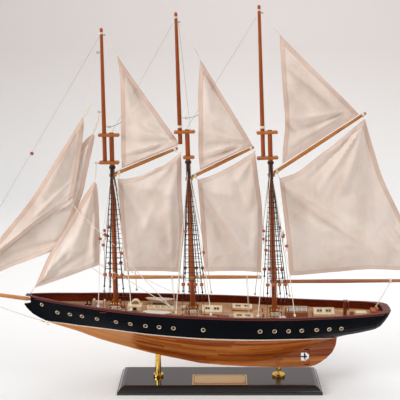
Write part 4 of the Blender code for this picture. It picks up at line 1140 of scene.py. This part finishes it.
def houses():
    """Window panes, near-black as painted shadow for the shade inside the recessed windows, and their frames,
    ridge strips and coamings on the deck houses.
    """
    panes, trim, roof, coaming = Shape(), Shape(), Shape(), Shape()
    for name, (x, y, length, width, eaves, ridge) in HOUSES.items():
        base = Vector((x, y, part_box(name)[0].z / MM + 0.2))
        turn = deck_tilt(x, y)
        slope = math.atan2(ridge - eaves, width / 2 + 0.8)
        for way in (-1, 1):
            tilt = turn @ Matrix.Rotation(-way * slope, 3, "X")
            out = tilt @ Vector((0, 0, 1))
            if name == "aft_cabin":
                middle = base + turn @ Vector((0, way * (width / 4 + 0.3), (eaves + ridge) / 2 + 0.1))
                roof.box((length - 3, width / 2 - 2.6, 0.5), middle + out * 0.25, tilt, 0.15)
                for k in range(5):
                    along = turn @ Vector(((k - 2) * (length - 4) / 4, 0, 0))
                    trim.box((0.7, width / 2 - 1.8, 0.7), middle + along + out * 0.5, tilt, 0.15)
                continue
            for along in (-0.22, 0.22):
                local = Vector((along * length, way * width * 0.26, (eaves + ridge) / 2 + 0.2))
                centre = base + turn @ local
                wide, deep = length * 0.28, width * 0.26
                # The pane's near-black is painted shadow for the shade inside the window.
                panes.box((wide - 0.3, deep - 0.3, 0.35), centre - out * 0.2, tilt, 0.08)
                trim.box((0.45, deep - 0.2, 0.4), centre + out * 0.1, tilt, 0.1)
                for end in (-1, 1):
                    beside, ahead = Vector((0, end * deep / 2, 0.55)), Vector((end * wide / 2, 0, 0.55))
                    trim.box((wide + 1.3, 0.7, 0.5), centre + tilt @ beside, tilt, 0.12)
                    trim.box((0.7, deep + 0.6, 0.5), centre + tilt @ ahead, tilt, 0.12)
        trim.box((length + 0.6, 1.3, 0.8), base + turn @ Vector((0, 0, ridge + 0.35)), turn, 0.2)
        for way in (-1, 1):
            beside = Vector((0, way * (width / 2 + 0.4), 0.75))
            ahead = Vector((way * (length / 2 + 0.4), 0, 0.75))
            coaming.box((length + 1.2, 0.8, 1.4), base + turn @ beside, turn, 0.2)
            coaming.box((0.8, width + 1.2, 1.4), base + turn @ ahead, turn, 0.2)
    panes.build("skylight_panes", "painted_shadow")
    trim.build("skylight_frames", "cream_paint")
    roof.build("cabin_roof_glazing", "roof")
    coaming.build("house_coamings", "seat")


def deck_tilt(x, y=0.0):
    """The turn that lays a piece along the deck's sheer."""
    return Matrix.Rotation(-math.atan2(deck_at(x + 12, y) - deck_at(x - 12, y), 24), 3, "Y")


def hatch_slots():
    """Dark sheets in the slatted hatch, the companion and the bench tops, as painted shadow for the shade in
    these gaps; and the small hatches and benches.
    """
    dark, brown, cream = Shape(), Shape(), Shape()
    turn = deck_tilt(-99)
    for i in range(4):
        x = -99.0 + (i - 1.5) * 10.4
        z = deck_at(x) + 5.85
        # Painted shadow: a dark sheet under the slats for the shade in the hatch.
        dark.box((7.9, 10.2, 0.3), (x, 0, z), turn, 0.05)
        for k in range(4):
            cream.box((7.9, 0.7, 0.7), (x, (k - 1.5) * 2.6, z + 0.5), turn, 0.15)
    # Painted shadow: a dark panel for the shade in the companion's opening.
    dark.box((6.0, 0.5, 5.2), (-141.0, -10.35, deck_at(-141) + 4.6), bevel=0.1)
    brown.box((8, 9, 3.2), (-162.2, 7.5, deck_at(-162) + 1.9), bevel=0.5)
    brown.box((20, 6.5, 3.4), (5, -21.5, deck_at(5) + 2.0), bevel=0.4)
    for k in range(5):
        # Painted shadow: dark strips for the shade between the bench's slats.
        dark.box((2.6, 4.8, 0.3), (5 + (k - 2) * 3.8, -21.5, deck_at(5) + 3.8), bevel=0.05)
    for x, y in ((-150, 15), (-150, -15), (-62, 12), (-62, -12), (66, 13), (66, -13), (112, 30)):
        cream.box((4, 3, 3.6), (x, y, deck_at(x, y) + 2.0), bevel=0.4)
        brown.lathe([(1.4, 0), (1.4, 2.2), (0.9, 2.8), (0.9, 4.2), (1.6, 4.8), (1.6, 5.6), (0.6, 6.1)],
                    (x + 6, y * 1.02, deck_at(x + 6, y) + 0.2), steps=12)
    dark.build("gratings", "painted_shadow")
    brown.build("small_hatches", "seat")
    cream.build("deck_lockers", "cream_paint")


def mast_rails():
    """The belaying racks and coiled ropes round each mast's foot, and the bitts at the bow."""
    wooden, coils, pins, dark = Shape(), Shape(), Shape(), Shape()
    for name in MASTS:
        x = MASTS[name]["x"]
        base = deck_at(x + 10, 8)
        for way in (-1, 1):
            for back in (-1, 1):
                wooden.box((1.8, 1.8, 9.5), (x + back * 7.5, way * 9.5, base + 5.0), bevel=0.3)
            wooden.box((19, 2.6, 1.6), (x, way * 9.5, base + 9.2), bevel=0.4)
            for k in range(4):
                spot = Vector((x - 6 + 4 * k, way * 9.5, base + 8.2))
                pins.lathe([(0.5, -2.4), (0.6, 0), (0.6, 2.2), (1.0, 3.4), (0.9, 4.6), (0.3, 5.4)],
                           spot, steps=10)
                for turn in range(3):
                    coils.ring(spot + Vector((0, way * 0.9, -2.2 - turn * 0.5)), (0.25, 1, 0.1 * turn),
                               2.4 + 0.3 * turn, 0.4, 16, 6)
    for x, y in ((104, -13), (100, 16), (-60, 22), (-160, -16)):
        for turn in range(5):
            coils.ring((x, y, deck_at(x, y) + 0.8 + 0.12 * turn), (0, 0.03, 1), 1.6 + turn * 0.95, 0.5, 22, 6)
    for x in (-222, -216):
        for y in (-9, 9):
            dark.lathe([(1.5, 0), (1.5, 1), (1.0, 1.6), (1.0, 5.4), (1.6, 6.2), (1.6, 7.2), (0.7, 7.8)],
                       (x, y, deck_at(x, y) + 0.2), steps=12)
    dark.tube([(-228, -9, deck_at(-225) + 1.6), (-214, -12, deck_at(-214) + 1.6)], 0.8, 8)
    dark.tube([(-228, -12, deck_at(-225) + 1.6), (-226, -4, deck_at(-225) + 1.6)], 0.7, 8)
    dark.ring((-213, -12.4, deck_at(-213) + 1.8), (0, 0, 1), 1.6, 0.5, 14, 6)
    wooden.build("belaying_racks", "mast")
    pins.build("belaying_pins", "brass")
    coils.build("rope_coils", "cream")
    dark.build("bow_bitts", "dark_metal")


def lifeboats():
    """Gunwales and cover ropes on the two covered boats."""
    trim, ropes = Shape(), Shape()
    for side in (1, -1):
        turn = deck_tilt(-102, side * 25)
        keel = Vector((-102, side * 33, deck_at(-102, side * 20) + 8.7))

        def at(t, y_share, rise):
            swell = math.sqrt(max(0.012, 1 - (2 * t - 1) ** 2)) ** 1.2
            sheer = 1.4 * (2 * t - 1) ** 2
            return keel + turn @ Vector(((t - 0.5) * 50, 8 * swell * y_share, sheer + rise * swell))
        for way in (-1, 1):
            trim.tube([at(k / 20, way * 1.03, 0.0) for k in range(21)], 0.5, 6)
        for k in range(1, 10):
            t = k / 10
            ropes.tube([at(t, -1.04, -0.9), at(t, -0.97, 0.5), at(t, -0.5, 2.15), at(t, 0, 2.25),
                        at(t, 0.5, 2.15), at(t, 0.97, 0.5), at(t, 1.04, -0.9)], 0.24, 5)
    trim.build("lifeboat_gunwales", "cabin")
    ropes.build("lifeboat_lashings", "cream")


def hoop_rim():
    shape = Shape()
    x, base = -140.5, deck_at(-140.5) + 8.7
    for y in (0.6, 9.0):
        shape.tube([(x + 7.0 * math.cos(a), y, base + 7.0 * math.sin(a))
                    for a in [math.pi * k / 16 for k in range(17)]], 0.65, 8)
    shape.build("companion_hoops", "cream_paint")


def king_spoke():
    """A cream knot round the wheel's top spoke, which marks the rudder amidships."""
    low, high = (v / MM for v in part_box("steering_wheel"))
    middle = (low + high) / 2
    hub = Vector((high.x - 1.1, middle.y, middle.z))
    out = Vector((0, math.cos(math.pi / 2 + 0.2), math.sin(math.pi / 2 + 0.2)))
    knot = Shape()
    for turn in range(5):
        knot.ring(hub + out * (7.6 + 0.6 * turn), out, 0.75, 0.42, 12, 6)
    knot.build("king_spoke_knot", "cream", "steering_wheel")


def rail_details():
    """Rubbing strake under the rail, and pin rails with their belaying pins inside the bulwarks."""
    strake, pins, holes = Shape(), Shape(), Shape()
    for side in (1, -1):
        rings = []
        for i in range(61):
            x = -306 + 582 * i / 60
            low, low_out = skin(x, rail_at(x) - 2.2, side)
            high, high_out = skin(x, rail_at(x) - 0.7, side)
            rings.append([low - low_out * 0.2, high - high_out * 0.2, high + high_out * 0.35,
                          low + low_out * 0.35])
        strake.rings(rings)
        for name in MASTS:
            for k in range(7):
                x = MASTS[name]["x"] - 19 + 6.6 * k
                y = (abs(skin(x, rail_at(x) - 2, side)[0].y) - 3.6) * side
                pins.lathe([(0.45, -4.6), (0.5, -1.6), (0.5, 0), (0.8, 1.2), (0.7, 2.6), (0.3, 3.2)],
                           (x, y, rail_at(x) - 1.4), steps=8)
            x = MASTS[name]["x"]
            y = (abs(skin(x, rail_at(x) - 2, side)[0].y) - 3.8) * side
            holes.box((46, 2.4, 1.2), (x + 1, y, rail_at(x) - 4.2), bevel=0.3)
    strake.build("rubbing_strake", "rail", sharp=60)
    pins.build("rail_pins", "bead")
    holes.build("pin_rails", "rail")


colour_stripe()
portholes()
head_gear()
stern_post()
name_plate_border()
for sail_name, sail_spec in SAILS.items():
    make_sail(sail_name, sail_spec)
for mast_name in MASTS:
    for mast_side in (1, -1):
        shrouds(mast_name, mast_side)
masthead_gear()
headsail_threads()
for rig_name, rig_places in RIGS.items():
    rig_threads(rig_name, rig_places)
boom_sheets()
falls()
houses()
hatch_slots()
mast_rails()
lifeboats()
hoop_rim()
king_spoke()
rail_details()


# ---------------------------------------------------------------- studio

def studio():
    """A pale sweep of floor, curve and wall, with lamps at both sides and above, and one for the floor. The
    paper is painted darker up the wall and towards the left, as painted shade.
    """
    turn, radius = 1.4, 1.3  # where the floor starts to curve up, and the curve's radius
    profile = [(-2.7, 0.0), (turn, 0.0)]
    profile += [(turn + radius * math.sin(a), radius - radius * math.cos(a))
                for a in [math.pi / 2 * k / 16 for k in range(1, 17)]]
    profile.append((turn + radius, 3.2))
    verts = [(x, y, z - 0.0001) for y, z in profile for x in (-4.0, 4.0)]
    faces = [(2 * i, 2 * i + 1, 2 * i + 3, 2 * i + 2) for i in range(len(profile) - 1)]
    mesh = bpy.data.meshes.new("sweep")
    mesh.from_pydata(verts, [], faces)
    mesh.shade_smooth()
    sweep = bpy.data.objects.new("sweep", mesh)
    bpy.context.scene.collection.objects.link(sweep)
    paint = Paint("sweep_paper", Roughness=0.75)
    # Painted shade: the paper is painted darker up the wall, for the fall-off of light away from the floor.
    high = paint.level(paint.axis("Z"), 0.0, 0.75)
    tone = paint.ramp(high, [(0.0, linear(252, 252, 252)), (0.22, linear(248, 245, 243)),
                             (0.6, linear(238, 231, 229)), (1.0, linear(242, 233, 231))])
    # Painted shade: the paper is painted darker towards the left.
    across = paint.level(paint.axis("X"), -1.8, 0.2, 0.86, 1.0)
    paint.link("Base Color", paint.toned(tone, across))
    mesh.materials.append(paint.material)

    def lamp(name, size, power, location, target, colour=(1, 1, 1)):
        data = bpy.data.lights.new(name, "AREA")
        data.shape = "RECTANGLE"
        data.size, data.size_y = size
        data.energy = power
        data.color = colour
        obj = bpy.data.objects.new(name, data)
        obj.location = location
        obj.rotation_euler = (Vector(target) - Vector(location)).to_track_quat("-Z", "Y").to_euler()
        bpy.context.scene.collection.objects.link(obj)

    lamp("key", (1.2, 1.2), 48, (-2.5, -1.1, 1.35), (0, 0, 0.33), (1.0, 0.985, 0.96))
    lamp("fill", (1.6, 1.4), 7.5, (2.0, -1.8, 1.0), (0, 0, 0.25), (1.0, 0.99, 0.98))
    lamp("top", (1.2, 0.6), 12, (0.85, -0.5, 1.9), (0.05, 0, 0.3))
    lamp("floor", (2.4, 1.2), 15, (0.35, 0.6, 1.5), (0.2, 1.3, 0.2))
    world = bpy.data.worlds.new("studio")
    world.use_nodes = True
    world.node_tree.nodes["Background"].inputs[0].default_value = (1, 1, 1, 1)
    world.node_tree.nodes["Background"].inputs[1].default_value = 0.3
    bpy.context.scene.world = world
    bpy.context.scene.view_settings.view_transform = "Standard"


studio()
